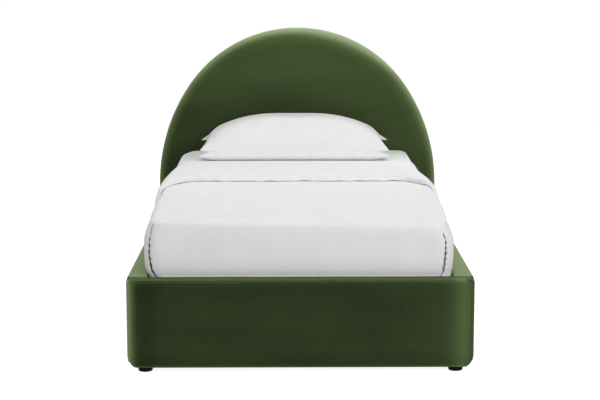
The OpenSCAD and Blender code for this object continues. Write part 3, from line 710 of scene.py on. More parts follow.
WOODS = {"core_wood": (tone(214, 181, 132), tone(184, 143, 92), 42.0),
         "slat_wood": (tone(226, 196, 148), tone(196, 157, 104), 55.0)}
FINISHES: tuple[Finish, ...] = (
    Velvet("velvet", tone(32, 42, 22), tone(147, 175, 104), 0.85),
    Foam("foam", tone(238, 229, 202), tone(226, 210, 168), 0.9),
    *(Timber(f"{name}_{axis.name.lower()}", colour, second, axis=axis, rings=rings)
      for name, (colour, second, rings) in WOODS.items() for axis in Axis),
    Timber("plywood", tone(222, 192, 146), tone(200, 164, 114), rings=14.0),
    Coated("black_steel", tone(26, 26, 27), tone(70, 70, 72), 0.5, texture=1300.0, relief=0.00012),
    Metal("zinc_steel", tone(206, 208, 210), tone(176, 180, 184), 0.3),
    Coated("black_plastic", tone(4, 4, 5), tone(13, 13, 14), 0.7, shine=0.1),
    Coated("grey_plastic", tone(112, 112, 114), tone(138, 138, 140), 0.5),
    Webbing("webbing", tone(42, 42, 44), tone(66, 66, 70), 0.85),
    Cloth("ticking", tone(236, 236, 232), tone(216, 216, 212), 0.85, threads=800.0, relief=0.0002),
    Metal("spring_steel", tone(150, 152, 155), tone(120, 122, 126), 0.35, spangle=90.0),
    Cloth("sheet_cotton", tone(240, 240, 240), tone(226, 226, 227), 0.85, rumple=0.0010, rumple_scale=7.0),
    Cloth("duvet_cotton", tone(240, 240, 240), tone(228, 228, 229), 0.85, rumple=0.0022, rumple_scale=5.0),
    Cloth("pillow_cotton", tone(241, 241, 241), tone(229, 229, 230), 0.85, rumple=0.0010, rumple_scale=11.0),
    Cloth("back_lining", tone(40, 48, 34), tone(28, 33, 24), 0.9, threads=600.0, relief=0.0003),
)


class Wardrobe:
    """Every finish as a material, by its name."""

    def __init__(self, effects: Effects) -> None:
        """Build each finish once."""
        self.materials = {finish.name: finish.material(effects) for finish in FINISHES}

    def wear(self, piece: Piece, finish: str, smooth: bool = True) -> None:
        """Give a new piece its finish.

        Args:
            piece: The piece.
            finish: The finish's name.
            smooth: Whether its faces are shaded smooth.
        """
        piece.data.materials.clear()
        piece.data.materials.append(self.materials[finish])
        piece.data.polygons.foreach_set("use_smooth", [smooth] * len(piece.data.polygons))

    def fit(self, piece: Piece, finish: str, node: str, body: str = "frame",
            smooth: bool = True) -> None:
        """Dress a piece that stands in for a CAD node.

        Args:
            piece: The new piece.
            finish: Its finish.
            node: The CAD node that it replaces.
            body: The body that it rides on.
            smooth: Whether its faces are shaded smooth.
        """
        self.wear(piece, finish, smooth)
        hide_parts(node)
        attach(piece, body)

    def dress_node(self, node: Piece, finish: str) -> None:
        """Give a CAD node its finish, in the slots that it has.

        Args:
            node: The node.
            finish: The finish's name.
        """
        if not node.material_slots:
            node.data.materials.append(self.materials[finish])
        for slot in node.material_slots:
            slot.material = self.materials[finish]


class Patchwork:
    """Collects patches of quads with their places on the cloth, and sews them into one mesh."""

    def __init__(self) -> None:
        """Start with nothing."""
        self.points: list[np.ndarray] = []
        self.cloth: list[np.ndarray] = []
        self.thick: list[np.ndarray] = []
        self.faces: list[np.ndarray] = []
        self.count = 0

    def patch(self, points: np.ndarray, cloth: np.ndarray, thick: np.ndarray | float = 1.0, flip: bool = False,
              keep: np.ndarray | None = None) -> None:
        """Add a grid of quads.

        Args:
            points: The corners, as rows by columns by 3.
            cloth: Their places on the flat cloth, as rows by columns by 2.
            thick: The share of the full thickness at each corner.
            flip: Whether to turn the faces over.
            keep: Which cells to keep, as rows less one by columns less one.
        """
        rows, columns = points.shape[:2]
        index = self.count + np.arange(rows * columns).reshape(rows, columns)
        cells = stacked(index[:-1, :-1], index[:-1, 1:], index[1:, 1:], index[1:, :-1])
        if flip:
            cells = cells[..., ::-1]
        cells = cells.reshape(-1, 4) if keep is None else cells[keep]
        self.points.append(points.reshape(-1, 3))
        self.cloth.append(np.broadcast_to(cloth, (rows, columns, 2)).reshape(-1, 2))
        self.thick.append(np.broadcast_to(np.asarray(thick, float), (rows, columns)).reshape(-1))
        self.faces.append(cells)
        self.count += rows * columns

    def piece(self, name: str, seam: float = SEAM, outward: bool = True) -> Piece:
        """Sew the patches together.

        Args:
            name: The new object's name.
            seam: How close two corners lie to be sewn into one.
            outward: Whether to turn the faces of the sewn shape outwards.

        Returns:
            The object, linked to the scene.
        """
        mesh = bpy.data.meshes.new(name)
        faces = np.concatenate(self.faces)
        mesh.from_pydata(np.concatenate(self.points).tolist(), [], faces.tolist())
        layer = mesh.uv_layers.new(name=CLOTH)
        corners = np.zeros(len(mesh.loops), int)
        mesh.loops.foreach_get("vertex_index", corners)
        layer.data.foreach_set("uv", np.concatenate(self.cloth)[corners].ravel())
        share = mesh.attributes.new(THICKNESS, "FLOAT", "POINT")
        share.data.foreach_set("value", np.concatenate(self.thick))
        work = bmesh.new()
        work.from_mesh(mesh)
        bmesh.ops.remove_doubles(work, verts=work.verts, dist=seam)
        bmesh.ops.dissolve_degenerate(work, dist=seam / 4, edges=work.edges)
        if outward:
            bmesh.ops.recalc_face_normals(work, faces=work.faces)
        work.to_mesh(mesh)
        work.free()
        return placed(name, mesh)


def placed(name: str, data: bpy.types.ID) -> Piece:
    """Make an object of some data, and link it to the scene.

    Args:
        name: The object's name.
        data: What it shows.

    Returns:
        The object.
    """
    found = bpy.data.objects.new(name, data)
    bpy.context.scene.collection.objects.link(found)
    return found


def shape(piece: Piece, kind: str, **settings: object) -> bpy.types.Modifier:
    """Add a modifier with its settings.

    Args:
        piece: The piece.
        kind: The modifier's type.
        settings: Its settings by name.

    Returns:
        The modifier.
    """
    modifier = piece.modifiers.new(kind.lower(), kind)
    for name, value in settings.items():
        setattr(modifier, name, value)
    return modifier


def apply_all(piece: Piece) -> None:
    """Turn a piece with its modifiers into a plain mesh.

    Args:
        piece: The piece.
    """
    bpy.context.view_layer.update()
    graph = bpy.context.evaluated_depsgraph_get()
    mesh = bpy.data.meshes.new_from_object(piece.evaluated_get(graph), preserve_all_data_layers=True, depsgraph=graph)
    old = piece.data
    piece.modifiers.clear()
    piece.data = mesh
    mesh.name = piece.name
    bpy.data.meshes.remove(old)


def thicken(piece: Piece, thickness: float, offset: float, round_off: float = 0.0) -> None:
    """Give a cloth its thickness, by the share that its points hold, and round its rim.

    Args:
        piece: The piece, as one surface.
        thickness: The full thickness.
        offset: Which side the wall stands on, from -1, inside, to 1, outside.
        round_off: The width of the rim's rounding.
    """
    shares = np.zeros(len(piece.data.vertices))
    piece.data.attributes[THICKNESS].data.foreach_get("value", shares)
    group = piece.vertex_groups.new(name=THICKNESS)
    for level in np.unique(np.round(shares, 3)):
        members = np.nonzero(np.abs(shares - level) < 6e-4)[0].tolist()
        group.add(members, float(level), "REPLACE")
    shape(piece, "SOLIDIFY", thickness=thickness, offset=offset, vertex_group=group.name,
          thickness_vertex_group=0.0)
    if round_off:
        shape(piece, "BEVEL", width=round_off, segments=2, limit_method="ANGLE", angle_limit=math.radians(55))
    apply_all(piece)
    piece.vertex_groups.clear()


class Item(Enum):
    """The small pieces that are set along a path."""

    STAPLE = 0
    STITCH = 1


class Repeats:
    """A node tree that sets staples or stitches along paths, at a spacing."""

    seed = 7

    def __init__(self, wardrobe: Wardrobe) -> None:
        """Build the tree.

        Args:
            wardrobe: What fits and dresses the pieces.
        """
        self.wardrobe = wardrobe
        self.tree = bpy.data.node_groups.new("items_along_a_path", "GeometryNodeTree")
        board = Board(self.tree, "GeometryNode")
        for label, kind, value in (("Path", "Geometry", None), ("Spacing", "Float", 0.03), ("Size", "Vector", None),
                                   ("Face", "Vector", None), ("Stitch", "Bool", False), ("Turn", "Float", 0.0),
                                   ("Seed", "Int", self.seed), ("Material", "Material", None)):
            board.declare(label, kind, value)
        board.declare("Items", "Geometry", way="OUTPUT")
        self._wire(board)

    @staticmethod
    def _wire(board: Board) -> None:
        """Wire the path, the item and its turn.

        Args:
            board: The board of the tree.
        """
        given = board.given()
        curve = board.read("MeshToCurve", 0, {0: given["Path"]})
        points = board.add("CurveToPoints", {"Curve": curve, "Length": given["Spacing"]}, mode="LENGTH")
        values = {"Vector": points.outputs["Tangent"]}
        turned = board.read("FunctionNodeAlignRotationToVector", 0, values, axis="X")
        values = {"Rotation": turned, "Vector": given["Face"]}
        faced = board.read("FunctionNodeAlignRotationToVector", 0, values, axis="Z", pivot_axis="X")
        values = {2: -1.0, 3: 1.0, "Seed": given["Seed"]}
        chance = board.read("FunctionNodeRandomValue", 1, values, data_type="FLOAT")
        angle = board.read("ShaderNodeMath", 0, {0: chance, 1: given["Turn"]}, operation="MULTIPLY")
        values = {0: faced, 1: board.read("ShaderNodeCombineXYZ", 0, {2: angle})}
        spin = board.read("FunctionNodeRotateRotation", 0, values, rotation_space="LOCAL")
        bar = board.read("MeshCube", 0, {0: (1.0, 1.0, 1.0)})
        bead = board.read("MeshUVSphere", 0, {"Segments": 8, "Rings": 5, "Radius": 0.5})
        item = board.read("Switch", 0, {"Switch": given["Stitch"], "False": bar, "True": bead}, input_type="GEOMETRY")
        values = {"Points": points.outputs[0], "Instance": item, "Rotation": spin, "Scale": given["Size"]}
        real = board.read("RealizeInstances", 0, {0: board.read("InstanceOnPoints", 0, values)})
        dressed = board.read("SetMaterial", 0, {"Geometry": real, "Material": given["Material"]})
        board.add("NodeGroupOutput", {0: dressed})

    def along(self, name: str, paths: Sequence[np.ndarray], spacing: float, size: Triple, face: Triple,
              turn: float = 0.0, item: Item = Item.STAPLE, finish: str = "zinc_steel", body: str = "frame") -> None:
        """Set items along paths, as one plain mesh.

        Args:
            name: The new piece's name.
            paths: The paths, each as points in order.
            spacing: The distance from one item to the next.
            size: The item's length, width and height.
            face: The direction in which its top looks.
            turn: How far an item may be turned by chance, in radians.
            item: Which item to set.
            finish: Its finish, which is also its slot.
            body: The body that the items ride on.
        """
        mesh = bpy.data.meshes.new(name)
        starts = np.cumsum([0] + [len(path) for path in paths])
        edges = [(start + k, start + k + 1) for start, path in zip(starts, paths) for k in range(len(path) - 1)]
        mesh.from_pydata(np.concatenate(paths).tolist(), edges, [])
        found = placed(name, mesh)
        modifier = found.modifiers.new("items", "NODES")
        modifier.node_group = self.tree
        values = {"Spacing": spacing, "Size": size, "Face": face, "Stitch": item is Item.STITCH, "Turn": turn,
                  "Seed": self.seed, "Material": self.wardrobe.materials[finish]}
        for socket in self.tree.interface.items_tree:
            if socket.item_type == "SOCKET" and socket.in_out == "INPUT" and socket.name in values:
                modifier[socket.identifier] = values[socket.name]
        apply_all(found)
        found.data.polygons.foreach_set("use_smooth", [item is Item.STITCH] * len(found.data.polygons))
        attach(found, body)


def round_corner(p: np.ndarray, q: np.ndarray, corner: tuple[float, float], way: tuple[int, int],
                 radius: float) -> None:
    """Round one corner of a view, in place.

    Args:
        p: First coordinates of the points.
        q: Second coordinates of the points.
        corner: Where the sharp corner is.
        way: On which side of the middle it lies, as signs.
        radius: Its radius.
    """
    if radius <= 0:
        return
    middle = (corner[0] - way[0] * radius, corner[1] - way[1] * radius)
    a = (p - middle[0]) * way[0] / radius
    b = (q - middle[1]) * way[1] / radius
    inside = (a > 0) & (b > 0)
    a, b = np.clip(a, 0, 1), np.clip(b, 0, 1)
    p[inside] = (middle[0] + way[0] * radius * a * np.sqrt(1 - b * b / 2))[inside]
    q[inside] = (middle[1] + way[1] * radius * b * np.sqrt(1 - a * a / 2))[inside]


@dataclass(frozen=True)
class FrameSizes:
    """The CAD frame's own sizes, in metres."""

    front_y: float = -1.03875
    inner_foot_y: float = -0.97625
    head_y: float = 0.94875
    back_y: float = 1.03875
    base_w: float = 1.110
    inner_l: float = 1.925
    floor_gap: float = 0.020
    panel_h: float = 0.285
    panel_t: float = 0.0625
    cover_t: float = 0.002
    foam_t: float = 0.015
    slat_w: float = 0.070
    slat_count: int = 13


SIZES = FrameSizes()


class Side(Enum):
    """Which panel of the frame."""

    FOOT = "footboard"
    LEFT = "left_rail"
    RIGHT = "right_rail"


@dataclass
class UpholsteredPanel:
    """The footboard or a side rail: a velvet cover over foam, with its lips turned in below."""

    side: Side
    low_r: float = 0.0
    high_r: float = 0.0
    end_r: float = 0.0
    edge_r: float = 0.006
    under_r: float = 0.013
    front_lip: float = 0.024
    back_lip: float = 0.009
    foam_gap: float = 0.0024
    crown: float = 0.0022
    seam_depth: float = 0.0024
    seam_drop: float = 0.0062
    seam_w: float = 0.0013
    top_crown: float = 0.0016
    board_pitch: float = 0.024
    staple_gap: float = 0.045
    reach: float = 0.037
    side_rim: float = 0.015
    staple_in: float = 0.06

    @property
    def length(self) -> float:
        """The panel's length."""
        return SIZES.base_w if self.side is Side.FOOT else SIZES.inner_l

    def place(self, points: np.ndarray) -> np.ndarray:
        """Move points from the panel's own corner to its place in the bed.

        Args:
            points: Points with the outer face at y = 0 and the panel along x.

        Returns:
            The points in the bed's frame.
        """
        x, y, z = points[..., 0], points[..., 1], points[..., 2] + SIZES.floor_gap
        if self.side is Side.FOOT:
            return stacked(x - SIZES.base_w / 2, y + SIZES.front_y, z)
        out = SIZES.base_w / 2 - y
        return stacked(-out if self.side is Side.LEFT else out, SIZES.head_y - x, z)

    def rounded(self, points: np.ndarray, inset: float, seam: float) -> np.ndarray:
        """Round a box's points to the panel's three views, and crown its faces.

        Args:
            points: Points on the faces of the panel's sharp box.
            inset: How far the box was set in.
            seam: How deep the seam is drawn in.

        Returns:
            The shaped points.
        """
        x, y, z = np.moveaxis(points.copy(), -1, 0)
        end, far, top = self.length - inset, SIZES.panel_t - inset, SIZES.panel_h - inset
        for way, corner in ((-1, inset), (1, end)):
            round_corner(x, z, (corner, inset), (way, -1), max(self.low_r - inset, 0))
            round_corner(x, z, (corner, top), (way, 1), max(self.high_r - inset, 0))
            round_corner(x, y, (corner, inset), (way, -1), max(self.end_r - inset, 0))
        for way_y, corner_y in ((-1, inset), (1, far)):
            for way_z, corner_z in ((-1, inset), (1, top)):
                radius = self.under_r if way_y < 0 and way_z < 0 else self.edge_r
                round_corner(y, z, (corner_y, corner_z), (way_y, way_z), radius - inset)
        u, v, w = (np.clip((points[..., k] - inset) / (most - inset), 0, 1) for k, most in enumerate((end, far, top)))
        bulge = (1 - (2 * w - 1) ** 6) * (1 - np.abs(2 * u - 1) ** 30 if self.side is Side.FOOT else 1.0)
        wave = 0.0004 * np.sin(x * 17 + z * 9) + 0.0003 * np.sin(x * 41 - z * 23)
        y = y - np.where(v < 0.02, (self.crown + wave) * bulge, 0)
        lift = (1 - (2 * v - 1) ** 4) * (1 - np.abs(2 * u - 1) ** 30)
        z = z + np.where(w > 0.98, (self.top_crown + wave) * lift, 0)
        drop = top - points[..., 2]
        groove = np.exp(-(((drop - self.seam_drop) / self.seam_w) ** 2))
        groove -= 0.35 * np.exp(-(((drop - 0.011) / 0.0035) ** 2))
        y = y + np.where(v < 0.02, groove * seam, 0)
        return stacked(x, y, z)

    def patches(self, inset: float, faces: Iterable[str]) -> Patchwork:
        """Make the panel's skin.

        Args:
            inset: How far inside the outer face it lies.
            faces: Which faces it has: front, back, top, below and ends.

        Returns:
            The patches.
        """
        steps, reach = max(round(self.length / self.board_pitch), 2), self.reach
        end, far, top = self.length - inset, SIZES.panel_t - inset, SIZES.panel_h - inset
        seam = top - self.seam_drop
        xs = ticks((inset, 0), (inset + reach, 12), (end - reach, steps), (end, 12))
        ys = ticks((inset, 0), (inset + 0.006, 4), (inset + 0.016, 5), (inset + reach, 6), (far - 0.009, 3),
                   (far - 0.006, 1), (far, 4))
        zs = ticks((inset, 0), (inset + 0.006, 4), (inset + 0.016, 5), (inset + 0.035, 5), (top - 0.040, 9),
                   (seam - 0.012, 4), (seam - 0.003, 4), (seam + 0.003, 9), (top, 5))
        boxes = {"front": [(xs, inset, zs)], "back": [(xs, far, zs)], "top": [(xs, ys, top)],
                 "below": [(xs, ys, inset)], "ends": [(inset, ys, zs), (end, ys, zs)]}
        middle_x, middle_y = ((line[1:] + line[:-1]) / 2 for line in (xs, ys))
        rim = reach if self.side is Side.FOOT else self.side_rim
        open_x = (middle_x > rim) & (middle_x < self.length - rim)
        open_y = (middle_y > self.front_lip) & (middle_y < SIZES.panel_t - self.back_lip)
        lips = ~(open_x[:, None] & open_y[None, :])
        full = Patchwork()
        for face in faces:
            for box in boxes[face]:
                grid = stacked(*np.meshgrid(*box, indexing="ij")).squeeze()
                fixed = [np.ndim(line) for line in box].index(0)
                shaped = self.place(self.rounded(grid, inset, 0.0 if inset else self.seam_depth))
                full.patch(shaped, np.delete(grid, fixed, axis=-1), keep=lips if face == "below" else None)
        return full

    def build(self, wardrobe: Wardrobe, repeats: Repeats) -> None:
        """Make the cover, its foam and the staples of its lips, and dress them.

        Args:
            wardrobe: What fits and dresses the pieces.
            repeats: What lays small items along lines.
        """
        prefix = self.side.value
        cover = self.patches(0.0, ("front", "back", "top", "below", "ends")).piece(prefix + "_velvet")
        thicken(cover, SIZES.cover_t * 0.8, -1.0)
        wardrobe.fit(cover, "velvet", prefix + "_cover")
        ends = ("ends",) if self.side is Side.FOOT else ()
        inset = SIZES.cover_t + self.foam_gap
        foam = self.patches(inset, ("front", "top", *ends)).piece(prefix + "_padding", outward=False)
        orient(foam, self.place(np.array([self.length / 2, SIZES.panel_t / 2, SIZES.panel_h / 2])))
        thicken(foam, SIZES.foam_t - self.foam_gap - 0.0006, -1.0)
        wardrobe.fit(foam, "foam", prefix + "_foam")
        rows = [self.place(np.array([[x, y, -0.0003] for x in (self.staple_in, self.length - self.staple_in)]))
                for y in (self.front_lip - 0.0035, SIZES.panel_t - self.back_lip + 0.0025)]
        repeats.along(prefix + "_staples", rows, self.staple_gap, (0.011, 0.0012, 0.0009), DOWN, turn=0.25)
        LOG.info("%s: velvet, padding and staples", prefix)


def turn_faces(piece: Piece, score: Callable[[bmesh.types.BMFace], float]) -> None:
    """Make a piece's faces agree, and turn them all over if their scores add up to less than 0.

    Args:
        piece: The piece.
        score: How well a face looks the right way.
    """
    work = bmesh.new()
    work.from_mesh(piece.data)
    bmesh.ops.recalc_face_normals(work, faces=work.faces)
    if sum(map(score, work.faces)) < 0:
        bmesh.ops.reverse_faces(work, faces=work.faces)
    work.to_mesh(piece.data)
    work.free()


def orient(piece: Piece, inside: np.ndarray) -> None:
    """Turn an open shell's faces away from a point inside it.

    Args:
        piece: The shell, whose faces may look either way.
        inside: A point on its inner side.
    """
    middle = Vector(inside)
    turn_faces(piece, lambda face: face.normal.dot(face.calc_center_median() - middle) * face.calc_area())


@dataclass
class Headboard:
    """The arched headboard: velvet over foam in front, and a stapled lining behind."""

    half_w: float = 0.6125
    height: float = 1.009
    crown_r: float = 0.578
    shoulder_r: float = 0.780
    shoulder_x: float = 0.1675
    edge_r: float = 0.040
    crown: float = 0.005
    foot_r: float = 0.008
    lining_inset: float = 0.012
    middle_z: float = 0.50
    ripple: float = 0.0006
    pucker: float = 0.0005
    back_gap: float = 0.0022
    back_r: float = 0.0035
    staple_gap: float = 0.05
    steps: int = 26

    @property
    def crown_z(self) -> float:
        """Height of the middle of the arch's circle."""
        return self.height - self.crown_r

    @property
    def shoulder_z(self) -> float:
        """Height of the middle of the shoulder's circle."""
        reach = self.shoulder_r - self.crown_r
        return self.crown_z - math.sqrt(reach**2 - self.shoulder_x**2)

    def outline(self, inset: float) -> np.ndarray:
        """Trace the outline from the middle of the lower edge, counter-clockwise seen from the foot.

        Args:
            inset: How far inside the real outline it lies.

        Returns:
            Points as x and z; the last one meets the first.
        """
        x1, z0 = self.half_w - inset, SIZES.floor_gap + inset
        r = max(self.foot_r - inset, 0.0004)
        right = [[x, z0] for x in np.linspace(0, x1 - r, 24)]
        right += [[x1 - r + r * math.sin(a), z0 + r - r * math.cos(a)] for a in np.linspace(0, QUARTER, 5)[1:]]
        right += [[x1, z] for z in np.linspace(z0 + r, self.shoulder_z, 12)[1:]]
        tangent = math.atan2(self.crown_z - self.shoulder_z, self.shoulder_x)
        arcs = ((self.shoulder_r, -self.shoulder_x, self.shoulder_z, np.linspace(0, tangent, 16)),
                (self.crown_r, 0.0, self.crown_z, np.linspace(tangent, QUARTER, self.steps)))
        for radius, x, z, angles in arcs:
            right += [[(radius - inset) * math.cos(a) + x, (radius - inset) * math.sin(a) + z] for a in angles[1:]]
        half = np.array(right)
        return np.concatenate([half, half[-2::-1] * [-1, 1]])

    def stations(self, skin: float) -> list[tuple[float, float]]:
        """List the rings from the back edge over the front edge onto the face.

        Args:
            skin: How far inside the cover's outer face the rings lie.

        Returns:
            Pairs of an inset and a depth y.
        """
        back, front, r = SIZES.back_y - self.back_gap, SIZES.head_y, self.back_r
        rings = [(0.030, back), (0.012, back)]
        rings += [(r - r * math.sin(a), back - r + r * math.cos(a)) for a in np.linspace(0, QUARTER, 4)]
        rings += [(0.0, y) for y in np.linspace(back - r, front + self.edge_r, 6)[1:-1]]
        rings += [(self.edge_r * (1 - math.cos(a)), front + self.edge_r * (1 - math.sin(a)))
                  for a in np.linspace(0, QUARTER, 13)]
        rings += [(0.050, front), (0.065, front)]
        return [(inset + skin, depth + (skin if depth < front + self.edge_r else 0.0))
                for inset, depth in rings]

    def shell(self, skin: float, first: int = 0) -> Patchwork:
        """Make the front, the edge and the rim that is turned in behind.

        Args:
            skin: How far inside the outer face the shell lies.
            first: The station from which it starts.

        Returns:
            The patches.
        """
        found = Patchwork()
        rings = [np.insert(self.outline(inset), 1, depth, axis=1) for inset, depth in self.stations(skin)][first:]
        last, middle = rings[-1], np.array([0.0, rings[-1][0][1], self.middle_z])
        rings += [middle + (last - middle) * share for share in np.linspace(1, 0, 16)[1:]]
        grid = np.stack(rings)
        x, z = grid[..., 0], grid[..., 2]
        inner = ease(grid[..., 1], SIZES.head_y + 0.02, SIZES.head_y + skin)
        rise = ease(np.minimum(z - SIZES.floor_gap, self.height - z), 0.02, 0.32)
        side = ease(self.half_w - np.abs(x), 0.02, 0.35)
        ripple = self.ripple * np.sin(9 * x + 3 * z) * np.sin(7 * z - 2 * x + 1)
        grid[..., 1] -= inner * (self.crown * rise * side + ripple * side)
        found.patch(grid, stacked(x, z))
        return found

    def lining(self) -> Patchwork:
        """Make the woven lining that closes the back, drawn in a little at its staples.

        Returns:
            The patches.
        """
        found = Patchwork()
        rings = [self.outline(inset) for inset in (self.lining_inset, 0.016, 0.022, 0.030, 0.045, 0.07)]
        last, middle = rings[-1], np.array([0.0, self.middle_z])
        rings += [middle + (last - middle) * share for share in np.linspace(1, 0, 14)[1:]]
        flat = np.stack(rings)
        x, z = flat[..., 0], flat[..., 1]
        depth = np.full_like(x, SIZES.back_y - 0.0010)
        pucker = self.pucker * (1 + np.cos(TURN * way_along(rings[0]) / self.staple_gap))[None, :]
        ring = np.arange(len(rings))[:, None]
        depth += np.where(ring < 5, -pucker * np.exp(-((ring - 2) ** 2) / 2.0), 0.0) - 0.0004 * (ring > 4)
        found.patch(stacked(x, depth, z), flat)
        return found

    def build(self, wardrobe: Wardrobe, repeats: Repeats) -> None:
        """Make the cover, the padding, the lining and its staples, and dress them.

        Args:
            wardrobe: What fits and dresses the pieces.
            repeats: What lays small items along lines.
        """
        inside = np.array([0.0, SIZES.head_y + 0.05, 0.5])
        for name, skin, first, wall, finish, node in (
                ("headboard_velvet", 0.0, 0, 0.0016, "velvet", "headboard_cover"),
                ("headboard_padding", SIZES.cover_t + 0.0004, 7, 0.024, "foam", "headboard_foam")):
            piece = self.shell(skin, first).piece(name, outward=False)
            orient(piece, inside)
            thicken(piece, wall, -1.0)
            wardrobe.fit(piece, finish, node)
        lining = self.lining().piece("headboard_lining", outward=False)
        orient(lining, inside)
        thicken(lining, 0.0010, -1.0)
        wardrobe.fit(lining, "back_lining", "headboard_back_cover")
        path = np.insert(self.outline(0.022), 1, SIZES.back_y - 0.0004, axis=1)
        repeats.along("lining_staples", [path], self.staple_gap, STAPLE, (0, 1, 0), turn=0.2)
        LOG.info("headboard: velvet, padding, lining and staples")


@dataclass
class SweptBlock:
    """A rounded slab: a plan with round corners, and a profile that runs round its edge."""

    half_x: float
    low_y: float
    high_y: float
    corner_r: float
    corner_steps: int = 6
    pitch: float = 0.025

    def corner(self) -> Triple:
        """Give the middles of the round corners: x, lower y and higher y."""
        return (self.half_x - self.corner_r, self.low_y + self.corner_r, self.high_y - self.corner_r)

    def shares(self) -> np.ndarray:
        """Give the steps of a corner's side, from its end to its middle."""
        return np.linspace(0, 1, self.corner_steps + 1)[1:]

    def counts(self) -> tuple[int, int]:
        """Give the number of steps between the corners, along x and along y."""
        cx, y0, y1 = self.corner()
        return round(2 * cx / self.pitch), round((y1 - y0) / self.pitch)

    def cap(self, inset: float, z: float) -> tuple[np.ndarray, np.ndarray]:
        """Make the flat face at one height.

        Args:
            inset: How far inside the plan its rim lies.
            z: Its height.

        Returns:
            The grid of points and their places on the cloth.
        """
        cx, y0, y1 = self.corner()
        r, b = self.corner_r - inset, self.shares()
        nx, ny = self.counts()
        xs = np.concatenate([-cx - r * b[::-1], np.linspace(-cx, cx, nx + 1), cx + r * b])
        ys = np.concatenate([y0 - r * b[::-1], np.linspace(y0, y1, ny + 1), y1 + r * b])
        x, y = np.meshgrid(xs, ys, indexing="ij")
        for way_x, corner_x in ((-1, -cx - r), (1, cx + r)):
            for way_y, corner_y in ((-1, y0 - r), (1, y1 + r)):
                round_corner(x, y, (corner_x, corner_y), (way_x, way_y), r)
        return stacked(x, y, z), stacked(x, y)

    def rim(self) -> tuple[np.ndarray, np.ndarray]:
        """Give the plan's outline as points with no corner radius, and the outward directions.

        Returns:
            The outline at the corners' middles, and its normals; add a radius times the normal.
        """
        cx, y0, y1 = self.corner()
        angles = square_angle(self.shares())
        turn = np.concatenate([angles, QUARTER - angles[:-1][::-1], [QUARTER]])
        nx, ny = self.counts()
        points, normals = [], []
        sides = (((-cx, y1), (-cx, y0), ny, math.pi), ((-cx, y0), (cx, y0), nx, 1.5 * math.pi),
                 ((cx, y0), (cx, y1), ny, 0.0), ((cx, y1), (-cx, y1), nx, 0.5 * math.pi))
        for start, end, count, angle in sides:
            for share in np.linspace(0, 1, count + 1):
                points.append([start[0] + (end[0] - start[0]) * share, start[1] + (end[1] - start[1]) * share])
                normals.append([math.cos(angle), math.sin(angle)])
            for step in turn[:-1]:
                points.append(list(end))
                normals.append([math.cos(angle + step), math.sin(angle + step)])
        points.append(points[0])
        normals.append(normals[0])
        return np.array(points), np.array(normals)

    def skirt(self, profile: np.ndarray) -> tuple[np.ndarray, np.ndarray]:
        """Run a profile round the edge.

        Args:
            profile: Rows of an inset and a height.

        Returns:
            The grid of points, profile by outline, and their places on the cloth.
        """
        points, normals = self.rim()
        reach = self.corner_r - profile[:, 0]
        flat = points[None] + normals[None] * reach[:, None, None]
        grid = stacked(flat[..., 0], flat[..., 1], profile[:, 1][:, None])
        return grid, stacked(*np.meshgrid(way_along(grid[0, :, :2]), -way_along(profile)))


